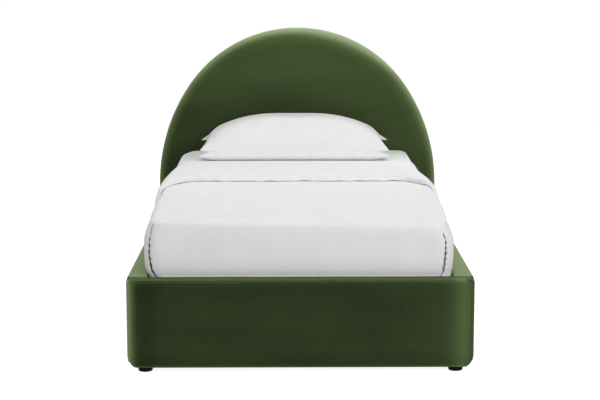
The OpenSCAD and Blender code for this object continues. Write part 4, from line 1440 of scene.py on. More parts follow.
@dataclass
class Mattress:
    """The mattress's quilted ticking and its fitted sheet."""

    half_w: float = 0.4825
    foot_y: float = -0.96625
    head_y: float = 0.93875
    low_z: float = 0.226
    top_z: float = 0.476
    corner_r: float = 0.060
    edge_r: float = 0.028
    sheet_t: float = 0.001
    hem_z: float = 0.254
    tape_r: float = 0.0026
    tape_pitch: float = 0.05
    tuft_depth: float = 0.0022
    stand_off: float = 0.021
    gather_flat: float = 0.0004
    gather_corner: float = 0.0011
    gather_pitch: float = 0.024
    tuft_pitch: float = 0.12

    def block(self, grow: float, pitch: float) -> SweptBlock:
        """Give the mattress's plan, grown by a distance."""
        return SweptBlock(self.half_w + grow, self.foot_y - grow, self.head_y + grow, self.corner_r + grow,
                          pitch=pitch)

    def profile(self, grow: float, low: bool, steps: int = 7) -> np.ndarray:
        """Trace the edge from the top face down.

        Args:
            grow: How far outside the mattress it lies.
            low: Whether it goes on round the lower edge.
            steps: Steps of each rounding.

        Returns:
            Rows of an inset and a height.
        """
        r = self.edge_r + grow
        top, bottom = self.top_z + grow, self.low_z - grow
        rows = [[r - r * math.sin(a), top - r + r * math.cos(a)] for a in np.linspace(0, QUARTER, steps)]
        if low:
            rows += [[0.0, z] for z in np.linspace(top - r, bottom + r, 12)[1:]]
            rows += [[r - r * math.cos(a), bottom + r - r * math.sin(a)] for a in np.linspace(0, QUARTER, steps)][1:]
        else:
            rows += [[0.0, z] for z in np.linspace(top - r, self.hem_z, 16)[1:]]
        return np.array(rows)

    def quilt(self, grid: np.ndarray, direction: np.ndarray) -> np.ndarray:
        """Sink quilting lines into a face.

        Args:
            grid: The face's points.
            direction: Which way is in.

        Returns:
            The quilted points.
        """
        x, y = grid[..., 0], grid[..., 1]
        first, second = (x + y) / self.tuft_pitch, (x - y) / self.tuft_pitch
        line = np.minimum(np.abs(first - np.round(first)), np.abs(second - np.round(second)))
        inner = ease(self.half_w - np.abs(x), 0.03, 0.05) * ease(self.head_y - np.abs(y), 0.0, 0.02)
        depth = self.tuft_depth * np.exp(-((line / 0.09) ** 2)) * inner
        return grid + direction * depth[..., None]

    def loosen(self, grid: np.ndarray) -> np.ndarray:
        """Let the sheet stand off the mattress's edge, left of the pillows.

        Args:
            grid: The sheet's points.

        Returns:
            The loosened points.
        """
        x, y, z = np.moveaxis(grid.copy(), -1, 0)
        near = ease(y, 0.44, 0.60) * (1 - ease(y, 0.80, 0.915))
        x -= self.stand_off * near * ease(-x, 0.36, 0.46) * ease(z, 0.33, 0.44)
        return stacked(x, y, z)

    def build(self, wardrobe: Wardrobe) -> None:
        """Make the ticking, its edge tape and the sheet, and dress them.

        Args:
            wardrobe: What fits and dresses the pieces.
        """
        block = self.block(0.0, 0.0125)
        work = Patchwork()
        profile = self.profile(0.0, True)
        for (inset, z), way in ((profile[0], -1.0), (profile[-1], 1.0)):
            grid, cloth = block.cap(inset, z)
            work.patch(self.quilt(grid, np.array([0, 0, way])), cloth)
        work.patch(*block.skirt(profile))
        ticking = work.piece("mattress_quilting")
        wardrobe.fit(ticking, "ticking", "mattress_ticking", "mattress")
        self.edge_tape(wardrobe)
        self.sheet(wardrobe)
        LOG.info("mattress: quilting, edge tape and sheet")

    def edge_tape(self, wardrobe: Wardrobe) -> None:
        """Make the tape that is sewn round the lower edge.

        Args:
            wardrobe: What fits and dresses the pieces.
        """
        points, normals = self.block(0.0, self.tape_pitch).rim()
        inset = self.edge_r - math.sqrt(self.edge_r**2 - (self.edge_r * 0.55) ** 2)
        ring = points + normals * (self.corner_r - inset - 0.0006)
        around = np.linspace(0, TURN, 9)
        tube = ring[None] + normals[None] * (self.tape_r * np.cos(around))[:, None, None]
        height = self.low_z + self.edge_r * 0.45 + self.tape_r * np.sin(around)
        work = Patchwork()
        work.patch(stacked(tube[..., 0], tube[..., 1], height[:, None]),
                   stacked(*np.meshgrid(np.arange(len(ring)) * self.tape_pitch, around * self.tape_r)))
        tape = work.piece("mattress_edge_tape")
        wardrobe.wear(tape, "ticking")
        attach(tape, "mattress")

    def sheet(self, wardrobe: Wardrobe) -> None:
        """Make the fitted sheet, gathered by the elastic in its hem.

        Args:
            wardrobe: What fits and dresses the pieces.
        """
        block = self.block(self.sheet_t, 0.016)
        profile = self.profile(self.sheet_t, False)
        work = Patchwork()
        grid, cloth = block.cap(profile[0][0], profile[0][1])
        work.patch(self.loosen(grid), cloth)
        grid, cloth = block.skirt(profile)
        run = cloth[..., 0]
        corner = ease(np.abs(grid[..., 0]), 0.40, 0.47) * ease(np.abs(grid[..., 1] + 0.01375), 0.88, 0.95)
        low = ease(-grid[..., 2], -0.40, -self.hem_z)
        wave = 0.5 + 0.5 * np.sin(run * TURN / self.gather_pitch)
        gather = (self.gather_flat + self.gather_corner * corner) * low * wave
        normals = block.rim()[1]
        grid[..., :2] += normals[None] * (gather - 0.0003)[..., None]
        work.patch(self.loosen(grid), cloth)
        found = work.piece("fitted_sheet_cloth", outward=False)
        orient(found, np.array([0.0, 0.0, 0.35]))
        thicken(found, self.sheet_t * 0.7, -1.0)
        wardrobe.fit(found, "sheet_cotton", "fitted_sheet", "mattress")


@dataclass
class Duvet:
    """The duvet: a top, two side drops and a foot drop, with its head end turned back over it."""

    face_x: float = 0.4839
    face_y: float = -0.96765
    top_z: float = 0.4864
    low_z: float = 0.299
    hem_z: float = 0.290
    hem_out: float = 0.004
    thickness: float = 0.009
    turn_t: float = 0.013
    left_loft: float = 0.019
    foot_loft: float = 0.012
    right_loft: float = 0.010
    edge: float = 0.024
    power: float = 4.0
    foot_power: float = 10.0
    side_power: float = 4.0
    corner_r: float = 0.048
    fold_y: float = 0.39375
    turn_y: float = -0.106
    turn_hem_z: float = 0.345
    edge_lift: float = 0.0075
    corner_steps: int = 7
    rows: int = 44
    pitch: float = 0.0115
    roll_steps: int = 8
    turned_rows: int = 46
    sag_left: float = 0.001
    sag_rise: float = 0.015
    pinch_left: float = 0.010
    pinch_right: float = 0.016
    lean_left: float = 0.006
    lean_right: float = 0.014
    lean_turned: float = 0.009
    billow: float = 0.0011
    ripple: float = 0.0012
    slit: float = 0.0022
    slit_more: float = 0.0040
    scallop: float = 0.0016
    scallop_pitch: float = 0.021
    corner_back: float = 0.27
    fold_r: float = 0.040
    fold_flat: float = 0.450
    fold_round: float = 0.045
    stitch_gap: float = 0.0045
    stitch: Triple = (0.0030, 0.0007, 0.0006)
    row_step: float = 0.0055
    column_step: float = 0.0075

    @property
    def level(self) -> float:
        """Height of the top's middle surface."""
        return self.top_z - self.thickness / 2

    @property
    def corner_y(self) -> float:
        """Where the middles of the foot corners lie."""
        return self.face_y + self.corner_r

    def side_loft(self, way: int) -> float:
        """Give how far a side's drop stands out."""
        return self.left_loft if way < 0 else self.right_loft

    def drop(self, loft: float, power: float) -> tuple[np.ndarray, np.ndarray, np.ndarray]:
        """Trace a drop's middle surface, from the top's edge down to the hem.

        Args:
            loft: How far the drop stands out.
            power: How sharp its upper edge is.

        Returns:
            Distances out from the mattress's face, heights and shares of the full thickness.
        """
        z = self.low_z + (self.top_z - self.low_z) * (1 + np.cos(np.linspace(0, math.pi, 500))) / 2
        height = 2 * (z - self.low_z) / (self.top_z - self.low_z) - 1
        power = np.where(height > 0, power, self.power)
        swell = np.maximum(1 - np.abs(height) ** power, 0) ** (1 / power)
        out = loft - (self.edge + loft) * (1 - swell)
        out = np.where(z < (self.low_z + self.top_z) / 2, np.maximum(out, self.hem_out), out)
        out, z = np.append(out, self.hem_out), np.append(z, self.hem_z)
        wall = self.thickness - (self.thickness - self.hem_out) * ease(-z, -0.345, -0.315)
        tangent = stacked(np.gradient(out), np.gradient(z))
        tangent /= np.linalg.norm(tangent, axis=-1, keepdims=True) + 1e-12
        out, z = out + tangent[:, 1] * wall / 2, z - tangent[:, 0] * wall / 2
        z[0], out[0] = self.level, -self.edge
        run = way_along(stacked(out, z))
        at = np.linspace(0, run[-1], self.rows + 1)
        return np.interp(at, run, out), np.interp(at, run, z), np.interp(at, run, wall)

    def end_y(self, x: np.ndarray) -> np.ndarray:
        """Give the y at which the fold starts, which is round at both ends of the fold."""
        side = np.clip((np.abs(x) - self.fold_flat) / self.fold_round, 0, 1)
        return self.fold_y - 0.011 - self.fold_r * (1 - np.sqrt(1 - side * side * 0.999))

    def settle(self, grid: np.ndarray, turned: np.ndarray | float = 0.0) -> np.ndarray:
        """Let the whole shape sag and lean as it lies.

        Args:
            grid: Points of the middle surface.
            turned: 1 where a point is on the turned-back layer, and 0 on the main one.

        Returns:
            The settled points.
        """
        x, y, z = np.moveaxis(grid.copy(), -1, 0)
        sag = self.sag_left + self.sag_rise * np.clip((x + 0.48) / 0.96, 0, 1)
        foot = np.clip((-0.936 - y) / 0.030, 0, 1) ** 2
        z -= sag * foot * ease(z, 0.33, 0.46)
        y += 0.001 * foot * ease(z, 0.43, 0.48)
        pinch = ease(-y, 0.60, 0.95) * ease(z, 0.41, 0.475) * ease(np.abs(x), 0.37, 0.47)
        x -= np.sign(x) * np.where(x < 0, self.pinch_left, self.pinch_right) * pinch
        lean = np.where(x < 0, ease(y, 0.05, 0.42), ease(y, -0.45, 0.28)) * ease(z, 0.42, 0.485)
        most = np.where(x < 0, self.lean_left, self.lean_right) + self.lean_turned * turned
        x -= np.sign(x) * most * lean * ease(np.abs(x), 0.38, 0.46)
        swell = 0.5 + 0.25 * np.sin(11 * x + 2.1 * y) * np.sin(6.5 * y - 3 * x + 1) + 0.25 * np.sin(19 * x - 13 * y)
        z += self.billow * swell * ease(z, 0.470, 0.480)
        side = ease(np.abs(x), 0.478, 0.484) * ease(z, 0.33, 0.37) * ease(-z, -0.475, -0.45)
        x += np.sign(x) * self.ripple * side * (0.5 + 0.5 * np.sin(14 * y) * np.sin(23 * z + 5 * y))
        front = ease(-y, 0.966, 0.970) * ease(z, 0.33, 0.37) * ease(-z, -0.465, -0.44)
        y -= self.ripple * front * (0.5 + 0.5 * np.sin(9 * x + 1) * np.sin(21 * z))
        return stacked(x, y, z)

    def share(self, wall: np.ndarray | float) -> np.ndarray:
        """Turn a wall's thickness into its share of the thickest one."""
        return np.asarray(wall, float) / self.turn_t

    def top_ticks(self) -> tuple[np.ndarray, np.ndarray]:
        """Give the top's columns, and its rows from the foot to the corner's middle.

        Returns:
            The columns' places across the bed, and the rows' shares of the way.
        """
        cx, r = self.face_x - self.corner_r, self.corner_r - self.edge
        b = np.linspace(0, 1, self.corner_steps + 1)[1:]
        xs = np.concatenate([-cx - r * b[::-1], np.linspace(-cx, cx, round(2 * cx / self.pitch) + 1), cx + r * b])
        return xs, b

    def top(self, work: Patchwork) -> None:
        """Add the top of the main layer.

        Args:
            work: The duvet's patches.
        """
        xs, b = self.top_ticks()
        cx, r, y0 = self.face_x - self.corner_r, self.corner_r - self.edge, self.corner_y
        x, y = np.meshgrid(xs, np.concatenate([y0 - r * b[::-1], [y0]]), indexing="ij")
        for way in (-1, 1):
            round_corner(x, y, (way * (cx + r), y0 - r), (way, -1), r)
        beyond, step = np.meshgrid(xs, self.side_steps(), indexing="ij")
        for across, along in ((x, y), (beyond, y0 + (self.end_y(beyond) - y0) * step)):
            grid = stacked(across, along, self.level)
            work.patch(self.settle(grid), grid[..., :2], self.share(self.thickness))

    def side_steps(self) -> np.ndarray:
        """Give the rows from the foot corner's middle to the fold, as shares of the way."""
        return np.linspace(0, 1, round((self.fold_y - self.corner_y) / self.pitch) + 1)

    def side_drop(self, work: Patchwork, way: int) -> None:
        """Add the straight part of a side drop.

        Args:
            work: The duvet's patches.
            way: -1 for the left side and 1 for the right.
        """
        out, z, wall = (values[:, None] for values in self.drop(self.side_loft(way), self.side_power))
        x = way * (self.face_x + out)
        y = self.corner_y + (self.end_y(x) - self.corner_y) * self.side_steps()
        cloth = stacked(way * (self.face_x + self.row_step * np.arange(len(out))[:, None]), y)
        work.patch(self.settle(stacked(x, y, z)), cloth, self.share(wall), flip=way > 0)

    def corner_angle(self, share: np.ndarray, z: np.ndarray, way: int) -> np.ndarray:
        """Turn a corner's column into its angle from the foot's direction.

        Args:
            share: The column, from 0 at the foot face to 1 at the side.
            z: Heights, down the drop.
            way: The side, as a sign.

        Returns:
            The angles, drawn towards the foot where the slit runs.
        """
        if way < 0:
            shift = np.interp(z, (0.297, 0.331, 0.376, 0.404, 0.438, 0.476), (15.0, 0.0, -8.0, -5.5, -5.0, -9.0))
        else:
            shift = np.interp(z, (0.297, 0.315, 0.331, 0.355, 0.385, 0.420, 0.450, 0.470),
                              (36.0, 26.0, 21.0, 17.0, 14.5, 14.0, 15.5, 17.0))
        shift = np.radians(shift) * ease(-z, -self.top_z + 0.004, -0.455)
        angle = square_angle(np.where(share < 0.5, 2 * share, 2 - 2 * share))
        angle = np.where(share < 0.5, angle, QUARTER - angle)
        middle = angle / QUARTER
        return angle - shift * 4 * middle * (1 - middle)

    def around_corner(self, work: Patchwork, way: int, at_foot: bool) -> None:
        """Add one half of the drop round a foot corner, from the straight part to the slit.

        Args:
            work: The duvet's patches.
            way: The side, as a sign.
            at_foot: Whether it is the half on the foot's side of the slit.
        """
        shares = np.linspace(0, 0.5, self.corner_steps + 1) + (0.0 if at_foot else 0.5)
        loft_side = self.side_loft(way)
        columns, walls = [], []
        for share in shares:
            loft = self.foot_loft + (loft_side - self.foot_loft) * share
            out, z, wall = self.drop(loft, self.foot_power + (self.side_power - self.foot_power) * share)
            angle = self.corner_angle(np.full_like(z, share), z, way)
            reach = self.corner_r + out
            if abs(share - 0.5) < 1e-6:
                deep = ease(-z, -0.472 if way < 0 else -0.458, -0.30)
                scallop = self.scallop * np.sin(TURN * z / self.scallop_pitch) * ease(-z, -0.46, -0.44)
                gap = np.where(deep > 0, self.slit + self.slit_more * deep + scallop, 0.0)
                angle = angle + (-1 if at_foot else 1) * gap / reach
                wall = wall * (1 - 0.45 * (deep > 0))
            x = way * (self.face_x - self.corner_r + reach * np.sin(angle))
            columns.append(stacked(x, self.corner_y - reach * np.cos(angle), z))
            walls.append(wall)
        grid = np.stack(columns, axis=1)
        run = (self.face_x + self.column_step * np.arange(len(shares))) * way
        cloth = stacked(run, self.face_y - self.row_step * np.arange(len(grid))[:, None])
        work.patch(self.settle(grid), cloth, self.share(np.stack(walls, axis=1)), flip=way < 0)

    def foot_drop(self, work: Patchwork) -> None:
        """Add the straight part of the foot drop.

        Args:
            work: The duvet's patches.
        """
        out, z, wall = (values[:, None] for values in self.drop(self.foot_loft, self.foot_power))
        xs, b = self.top_ticks()
        x = xs[len(b) : len(xs) - len(b)]
        cloth = stacked(x, self.face_y - self.row_step * np.arange(len(out))[:, None])
        work.patch(self.settle(stacked(x, self.face_y - out, z)), cloth, self.share(wall))

    def section(self) -> tuple[np.ndarray, ...]:
        """Trace the main layer's cross-section from the left turned hem to the right one.

        Returns:
            x, z, the normals' x and z, the wall of the main layer and that of the turned-back one.
        """
        xs, _ = self.top_ticks()
        parts = []
        for way in (-1, 1):
            out, z, wall = self.drop(self.side_loft(way), self.side_power)
            used = z >= self.turn_hem_z
            part = stacked(way * (self.face_x + out[used]), z[used], wall[used])
            parts.append(part[::-1] if way < 0 else part)
        flat = stacked(xs, self.level, self.thickness)
        line = np.concatenate([parts[0][:-1], flat, parts[1][1:]])
        tangent = np.gradient(line[:, :2], axis=0)
        tangent /= np.linalg.norm(tangent, axis=1, keepdims=True)
        below = np.clip((self.level - line[:, 1]) / (self.level - self.turn_hem_z), 0, 1)
        turned = self.turn_t - 0.008 * ease(below, 0.35, 1.0)
        return line[:, 0], line[:, 1], -tangent[:, 1], tangent[:, 0], line[:, 2], turned

    def turned_layer(self, work: Patchwork) -> np.ndarray:
        """Add the roll of the fold and the layer that is turned back.

        Args:
            work: The duvet's patches.

        Returns:
            The line just inside the layer's free edge.
        """
        x, z, normal_x, normal_z, wall, turned = self.section()
        gap = wall / 2 + turned / 2
        start = self.end_y(x)
        run = way_along(stacked(x, z))
        side = run[-1] / 2
        beyond = np.abs(run - np.interp(0.0, x, run)) - 0.38
        angles = np.linspace(0, math.pi, self.roll_steps + 1)[:, None]
        lift, reach = gap / 2 * (1 - np.cos(angles)), gap / 2 * np.sin(angles)
        roll = stacked(x + normal_x * lift, start + reach, z + normal_z * lift)
        mix = np.broadcast_to(angles / math.pi, lift.shape)
        shoulder = ease(np.abs(x), 0.42, 0.47) * 0.5
        thin = turned * (1 - shoulder)
        walls = wall + (thin - wall) * mix
        along = stacked(run - side, self.fold_y + angles * 0.006)
        work.patch(self.settle(roll, mix), along, self.share(walls), flip=True)
        edge = self.turn_y - self.corner_back * ease(beyond, 0.0, 0.21)
        edge = edge + 0.0020 * np.sin(TURN * x / 0.19 + 1) + 0.0012 * np.sin(TURN * x / 0.067)
        rim = np.array([1.0, 0.72, 0.46, 0.25, 0.10, 0.0])
        rows = self.turned_rows
        steps = np.concatenate([np.linspace(0, 0.96, rows), np.ones(len(rim))])[:, None]
        inner = np.concatenate([np.zeros(rows), rim])[:, None] * turned / 2
        y = start + (edge - start) * steps + inner
        full = np.concatenate([np.ones(rows), np.sqrt(1 - rim**2) * 0.9 + 0.1])[:, None]
        full[rows] = 1.0
        flat = stacked(x + normal_x * gap, y, z + normal_z * gap)
        fade = 1 - shoulder * ease(y, -0.15, 0.38)
        cloth = stacked(run - side, self.fold_y + self.fold_y - y)
        laid = self.settle(flat, 1.0)
        ripple = 0.6 + 0.4 * np.sin(TURN * x / 0.083) * np.sin(TURN * x / 0.31 + 1)
        behind = y - edge
        lift = self.edge_lift * ease(behind, 0.0, 0.035) * (1 - ease(behind, 0.09, 0.40)) * (1 - 0.45 * shoulder)
        lift = lift + 0.45 * self.edge_lift * (1 - ease(behind, 0.0, 0.035)) * ripple
        laid[..., 0] += lift * normal_x
        laid[..., 2] += lift * normal_z
        work.patch(laid, cloth, self.share(turned * fade * full), flip=True)
        line = laid[rows - 2].copy()
        line[:, 2] += turned / 2 * normal_z
        line[:, 0] += turned / 2 * normal_x
        return line

    def build(self, wardrobe: Wardrobe, repeats: Repeats) -> None:
        """Make the duvet and the stitches of its hem, and dress them.

        Args:
            wardrobe: What fits and dresses the pieces.
            repeats: What lays small items along lines.
        """
        work = Patchwork()
        self.top(work)
        self.foot_drop(work)
        for way in (-1, 1):
            self.side_drop(work, way)
            for at_foot in (True, False):
                self.around_corner(work, way, at_foot)
        hem = self.turned_layer(work)
        found = work.piece("duvet_cloth", seam=1.2e-4, outward=False)
        orient_up(found)
        thicken(found, self.turn_t, 0.0, round_off=0.0022)
        wardrobe.fit(found, "duvet_cotton", "duvet", "duvet")
        repeats.along("duvet_stitches", [hem[np.abs(hem[:, 0]) < 0.44]], self.stitch_gap, self.stitch, (0, 0, 1),
                      item=Item.STITCH, finish="duvet_cotton", body="duvet")
        LOG.info("duvet: %d triangles", sum(len(face.vertices) - 2 for face in found.data.polygons))


def orient_up(piece: Piece) -> None:
    """Turn a folded cloth's faces over as a whole, so that its main layer looks up.

    Args:
        piece: The cloth.
    """

    def score(face: bmesh.types.BMFace) -> float:
        """Read how far a face of the main layer looks up."""
        middle = face.calc_center_median()
        return face.normal.z if middle.y < -0.4 and middle.z > 0.475 else 0.0

    turn_faces(piece, score)


@dataclass
class Pillow:
    """A pillow: two panels sewn together at their edges, stuffed, and blown up by a cloth simulation."""

    name: str
    node: str
    width: float
    depth: float
    height: float
    base_z: float
    seam_share: float
    powers: Triple
    cap: float
    shift: float = -0.014
    head_y: float = 0.93875
    draw: float = 0.018
    fill: float = 0.8
    near_droop: float = 0.0
    near_push: float = 0.0
    near_spread: float = 0.0
    far_droop: float = 0.0
    far_spread: float = 0.0
    voxel: float = 0.006
    frames: int = 20
    crease_reach: float = 0.05
    seam_step: float = 0.0088
    crease: float = 0.0009
    crease_pitch: float = 0.045
    groove: float = 0.0020
    groove_w: float = 0.0032

    @property
    def seam_z(self) -> float:
        """Height of the seam."""
        return self.base_z + self.height * self.seam_share

    @property
    def lowest(self) -> float:
        """The lowest height that a point may take."""
        return self.base_z + 0.0002

    @property
    def middle_y(self) -> float:
        """Where the pillow's middle lies."""
        return self.head_y - self.depth / 2

    def outline(self, count: int = 90) -> np.ndarray:
        """Trace the seam.

        Args:
            count: Points along each side.

        Returns:
            The seam's points; the last one meets the first.
        """
        line = np.linspace(-1, 1, count)
        one = np.ones_like(line)
        u = np.concatenate([line, one, line[::-1], -one])
        v = np.concatenate([-one, line, one, line[::-1]])
        return self.place(u, v, self.seam_z)

    def place(self, u: np.ndarray, v: np.ndarray, z: np.ndarray | float) -> np.ndarray:
        """Turn places on the pillow, from -1 to 1, into points whose sides are drawn in.

        Args:
            u: Places along the pillow.
            v: Places across it.
            z: Heights.

        Returns:
            The points.
        """
        x = u * (self.width / 2 - self.draw * (1 - v * v)) + self.shift
        y = v * (self.depth / 2 - self.draw * (1 - u * u)) + self.middle_y
        return stacked(x, y, z)

    def heights(self, u: np.ndarray, v: np.ndarray) -> tuple[np.ndarray, np.ndarray]:
        """Give the heights of the top and of the underside above the pillow's base.

        Args:
            u: Places along the pillow, from -1 to 1.
            v: Places across it.

        Returns:
            Heights of the top, and of the underside.
        """
        seam = self.height * self.seam_share
        across, along, below = self.powers
        top = (1 - np.abs(u) ** across) * np.sqrt(np.maximum(1 - np.abs(v) ** along, 0))
        low = (1 - np.abs(u) ** below) * np.sqrt(np.maximum(1 - np.abs(v) ** below, 0))
        return seam + (self.height - seam) * top, seam * (1 - low)

    def blank(self) -> Piece:
        """Make the pillow before it is blown up.

        Returns:
            The piece.
        """
        u, v = np.meshgrid(np.sin(np.linspace(-QUARTER, QUARTER, 81)),
                           np.sin(np.linspace(-QUARTER, QUARTER, 45)), indexing="ij")
        top, low = self.heights(u, v)
        work = Patchwork()
        flat = stacked(u * self.width / 2, v * self.depth / 2)
        work.patch(self.place(u, v, self.base_z + top), flat)
        work.patch(self.place(u, v, self.base_z + low), flat, flip=True)
        return work.piece(self.name)

    def inflate(self, piece: Piece) -> None:
        """Blow the pillow up, and hold it near its own shape.

        Args:
            piece: The blank.
        """
        shape(piece, "REMESH", mode="VOXEL", voxel_size=self.voxel, adaptivity=0.0)
        apply_all(piece)
        before = np.zeros(len(piece.data.vertices) * 3)
        piece.data.vertices.foreach_get("co", before)
        cloth = piece.modifiers.new("cloth", "CLOTH").settings
        cloth.quality = 5
        cloth.use_pressure, cloth.uniform_pressure_force = True, 4.0
        cloth.tension_stiffness, cloth.bending_stiffness = 20, 0.3
        cloth.effector_weights.gravity = 0.0
        scene = bpy.context.scene
        for frame in range(1, self.frames + 1):
            scene.frame_set(frame)
        apply_all(piece)
        scene.frame_set(1)
        after = np.zeros_like(before)
        piece.data.vertices.foreach_get("co", after)
        before, after = before.reshape(-1, 3), after.reshape(-1, 3)
        moved = after - before
        length = np.linalg.norm(moved, axis=1, keepdims=True) + 1e-9
        after = before + moved * np.minimum(1, self.cap * np.tanh(length / self.cap) / length)
        after[:, 2] = np.clip(after[:, 2], self.lowest, self.base_z + self.height)
        piece.data.vertices.foreach_set("co", after.ravel())
        shape(piece, "SUBSURF", levels=1, render_levels=1)
        apply_all(piece)

    def sew(self, piece: Piece) -> None:
        """Sink the seam, and let small creases run out from it.

        Args:
            piece: The pillow.
        """
        line = self.outline()
        tree = KDTree(len(line))
        for k, point in enumerate(line):
            tree.insert(point, k)
        tree.balance()
        mesh = piece.data
        normals = [vertex.normal.copy() for vertex in mesh.vertices]
        for vertex, normal in zip(mesh.vertices, normals):
            _, index, distance = tree.find(vertex.co)
            if distance < self.crease_reach:
                run = index * self.seam_step
                fade = math.exp(-(((distance - 0.016) / 0.013) ** 2))
                crease = self.crease * math.sin(run * TURN / self.crease_pitch + 2 * math.sin(run * 9)) * fade
                groove = self.groove * math.exp(-((distance / self.groove_w) ** 2))
                vertex.co += Vector((normal.x, normal.y, normal.z * 0.3)) * (crease - groove)
            vertex.co.z = min(max(vertex.co.z, self.lowest), self.base_z + self.height)
        layer = mesh.uv_layers.get(CLOTH) or mesh.uv_layers.new(name=CLOTH)
        for loop in mesh.loops:
            point = mesh.vertices[loop.vertex_index].co
            layer.data[loop.index].uv = (point.x, point.y + (point.z - self.seam_z) * 0.6)

    def settle(self, piece: Piece, under: Piece) -> None:
        """Let the near edge and the far ears droop onto the pillow below.

        Args:
            piece: The pillow.
            under: The pillow that it lies on.
        """
        mesh = piece.data
        below = BVHTree.FromPolygons([vertex.co for vertex in under.data.vertices],
                                     [polygon.vertices for polygon in under.data.polygons])
        points = np.zeros(len(mesh.vertices) * 3)
        mesh.vertices.foreach_get("co", points)
        points = points.reshape(-1, 3)
        u = (points[:, 0] - self.shift) / (self.width / 2)
        v = (points[:, 1] - self.middle_y) / (self.depth / 2)
        share = (points[:, 2] - self.base_z) / self.height
        near = ease(-v, 0.30, 1.0)
        points[:, 2] -= self.near_droop * near * (1 - 0.85 * ease(share, 0.30, 0.95))
        points[:, 1] -= self.near_push * near * (1 - ease(share, 0.45, 1.0))
        points[:, 0] += np.sign(u) * self.near_spread * ease(-v, 0.2, 0.9) * ease(np.abs(u), 0.70, 1.0)
        ears = ease(v, 0.45, 1.0) * ease(np.abs(u), 0.78, 1.0)
        points[:, 2] -= self.far_droop * ears
        points[:, 0] += np.sign(u) * self.far_spread * ease(v, 0.68, 1.0) * ease(np.abs(u), 0.84, 1.0)
        for point in points[points[:, 2] < self.base_z + 0.03]:
            hit = below.ray_cast(Vector((point[0], point[1], self.base_z + 0.05)), Vector((0, 0, -1)))[0]
            point[2] = max(point[2], (hit.z if hit else self.base_z - self.height * 0.3) + 0.0008)
        mesh.vertices.foreach_set("co", points.ravel())

    def build(self, wardrobe: Wardrobe, under: Piece | None = None) -> Piece:
        """Make the pillow and dress it.

        Args:
            wardrobe: The finishes.
            under: The pillow that it lies on.

        Returns:
            The pillow.
        """
        piece = self.blank()
        self.inflate(piece)
        self.sew(piece)
        if under:
            self.settle(piece, under)
        wardrobe.fit(piece, "pillow_cotton", self.node, self.node)
        LOG.info("%s: %d faces", self.name, len(piece.data.polygons))
        return piece


@dataclass
class SlatStraps:
    """The two webbing straps that keep the slats apart, stapled to each slat."""

    width: float = 0.025
    thickness: float = 0.0015
    sag: float = 0.0016
    staple_half: float = 0.006
    staple_off: float = 0.018

    def slat_y(self) -> np.ndarray:
        """Give the middles of the slats."""
        pitch = (SIZES.inner_l - 2 * SIZES.slat_w) / (SIZES.slat_count - 1)
        return SIZES.inner_foot_y + SIZES.slat_w + pitch * np.arange(SIZES.slat_count)

    def build(self, wardrobe: Wardrobe, repeats: Repeats) -> None:
        """Make both straps and their staples, and dress them.

        Args:
            wardrobe: What fits and dresses the pieces.
            repeats: What lays small items along lines.
        """
        low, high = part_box("slat_straps")
        middle = high.x - self.width / 2
        slats = self.slat_y()
        ys = np.linspace(low.y, high.y, 240)
        near = np.min(np.abs(ys[:, None] - slats[None]), axis=1)
        sag = self.sag * ease(near, SIZES.slat_w / 2, SIZES.slat_w / 2 + 0.03)
        across = np.linspace(-self.width / 2, self.width / 2, 5)
        under = high.z - self.thickness - 0.0002
        paths = []
        for way, label in ((-1, "left"), (1, "right")):
            x, y = np.meshgrid(way * middle + across, ys, indexing="ij")
            work = Patchwork()
            work.patch(stacked(x, y, high.z - self.thickness / 2 - 0.0001 - sag), stacked(x, y), flip=way > 0)
            strap = work.piece("slat_strap_" + label, outward=False)
            thicken(strap, self.thickness * 0.9, 0.0)
            wardrobe.fit(strap, "webbing", "slat_straps", smooth=False)
            paths += [np.array([[way * middle + end, y + off, under] for end in (-self.staple_half, self.staple_half)])
                      for y in slats for off in (-self.staple_off, self.staple_off)]
        repeats.along("strap_staples", paths, 0.02, STAPLE, DOWN)
        LOG.info("slats: straps and staples")


@dataclass
class Woodwork:
    """The CAD nodes whose shape is right, and the finish that each one wears."""

    nodes: dict[str, Piece]
    lengthwise: tuple[str, ...] = ("left_ledge", "right_ledge", "centre_beam", "left_rail_core", "right_rail_core")
    upright: tuple[str, ...] = ("centre_legs", "corner_blocks")

    def finish_of(self, name: str, slot: str) -> str:
        """Choose the finish for a node.

        Args:
            name: The node's name.
            slot: Its slot in the record.

        Returns:
            The finish's name.
        """
        if slot not in WOODS:
            return slot
        axis = Axis.Y if name in self.lengthwise else Axis.Z if name in self.upright else Axis.X
        return f"{slot}_{axis.name.lower()}"

    def build(self, wardrobe: Wardrobe, slots: dict[str, str]) -> None:
        """Dress every node that stays.

        Args:
            wardrobe: What fits and dresses the pieces.
            slots: Each node's slot in the record.
        """
        for name, node in self.nodes.items():
            finish = self.finish_of(name, slots[name])
            if finish in wardrobe.materials:
                wardrobe.dress_node(node, finish)
        LOG.info("frame: %d nodes dressed", len(self.nodes))


@dataclass(frozen=True)
class Lamp:
    """A soft square lamp, its power in watts."""

    name: str
    place: Triple
    target: Triple
    size: float
    power: float

    def build(self) -> None:
        """Hang the lamp."""
        data = bpy.data.lights.new(self.name, "AREA")
        data.size, data.energy = self.size, self.power
        way = Vector(self.target) - Vector(self.place)
        turn = way.to_track_quat("-Z", "Y").to_matrix().to_4x4()
        placed(self.name, data).matrix_world = Matrix.Translation(self.place) @ turn


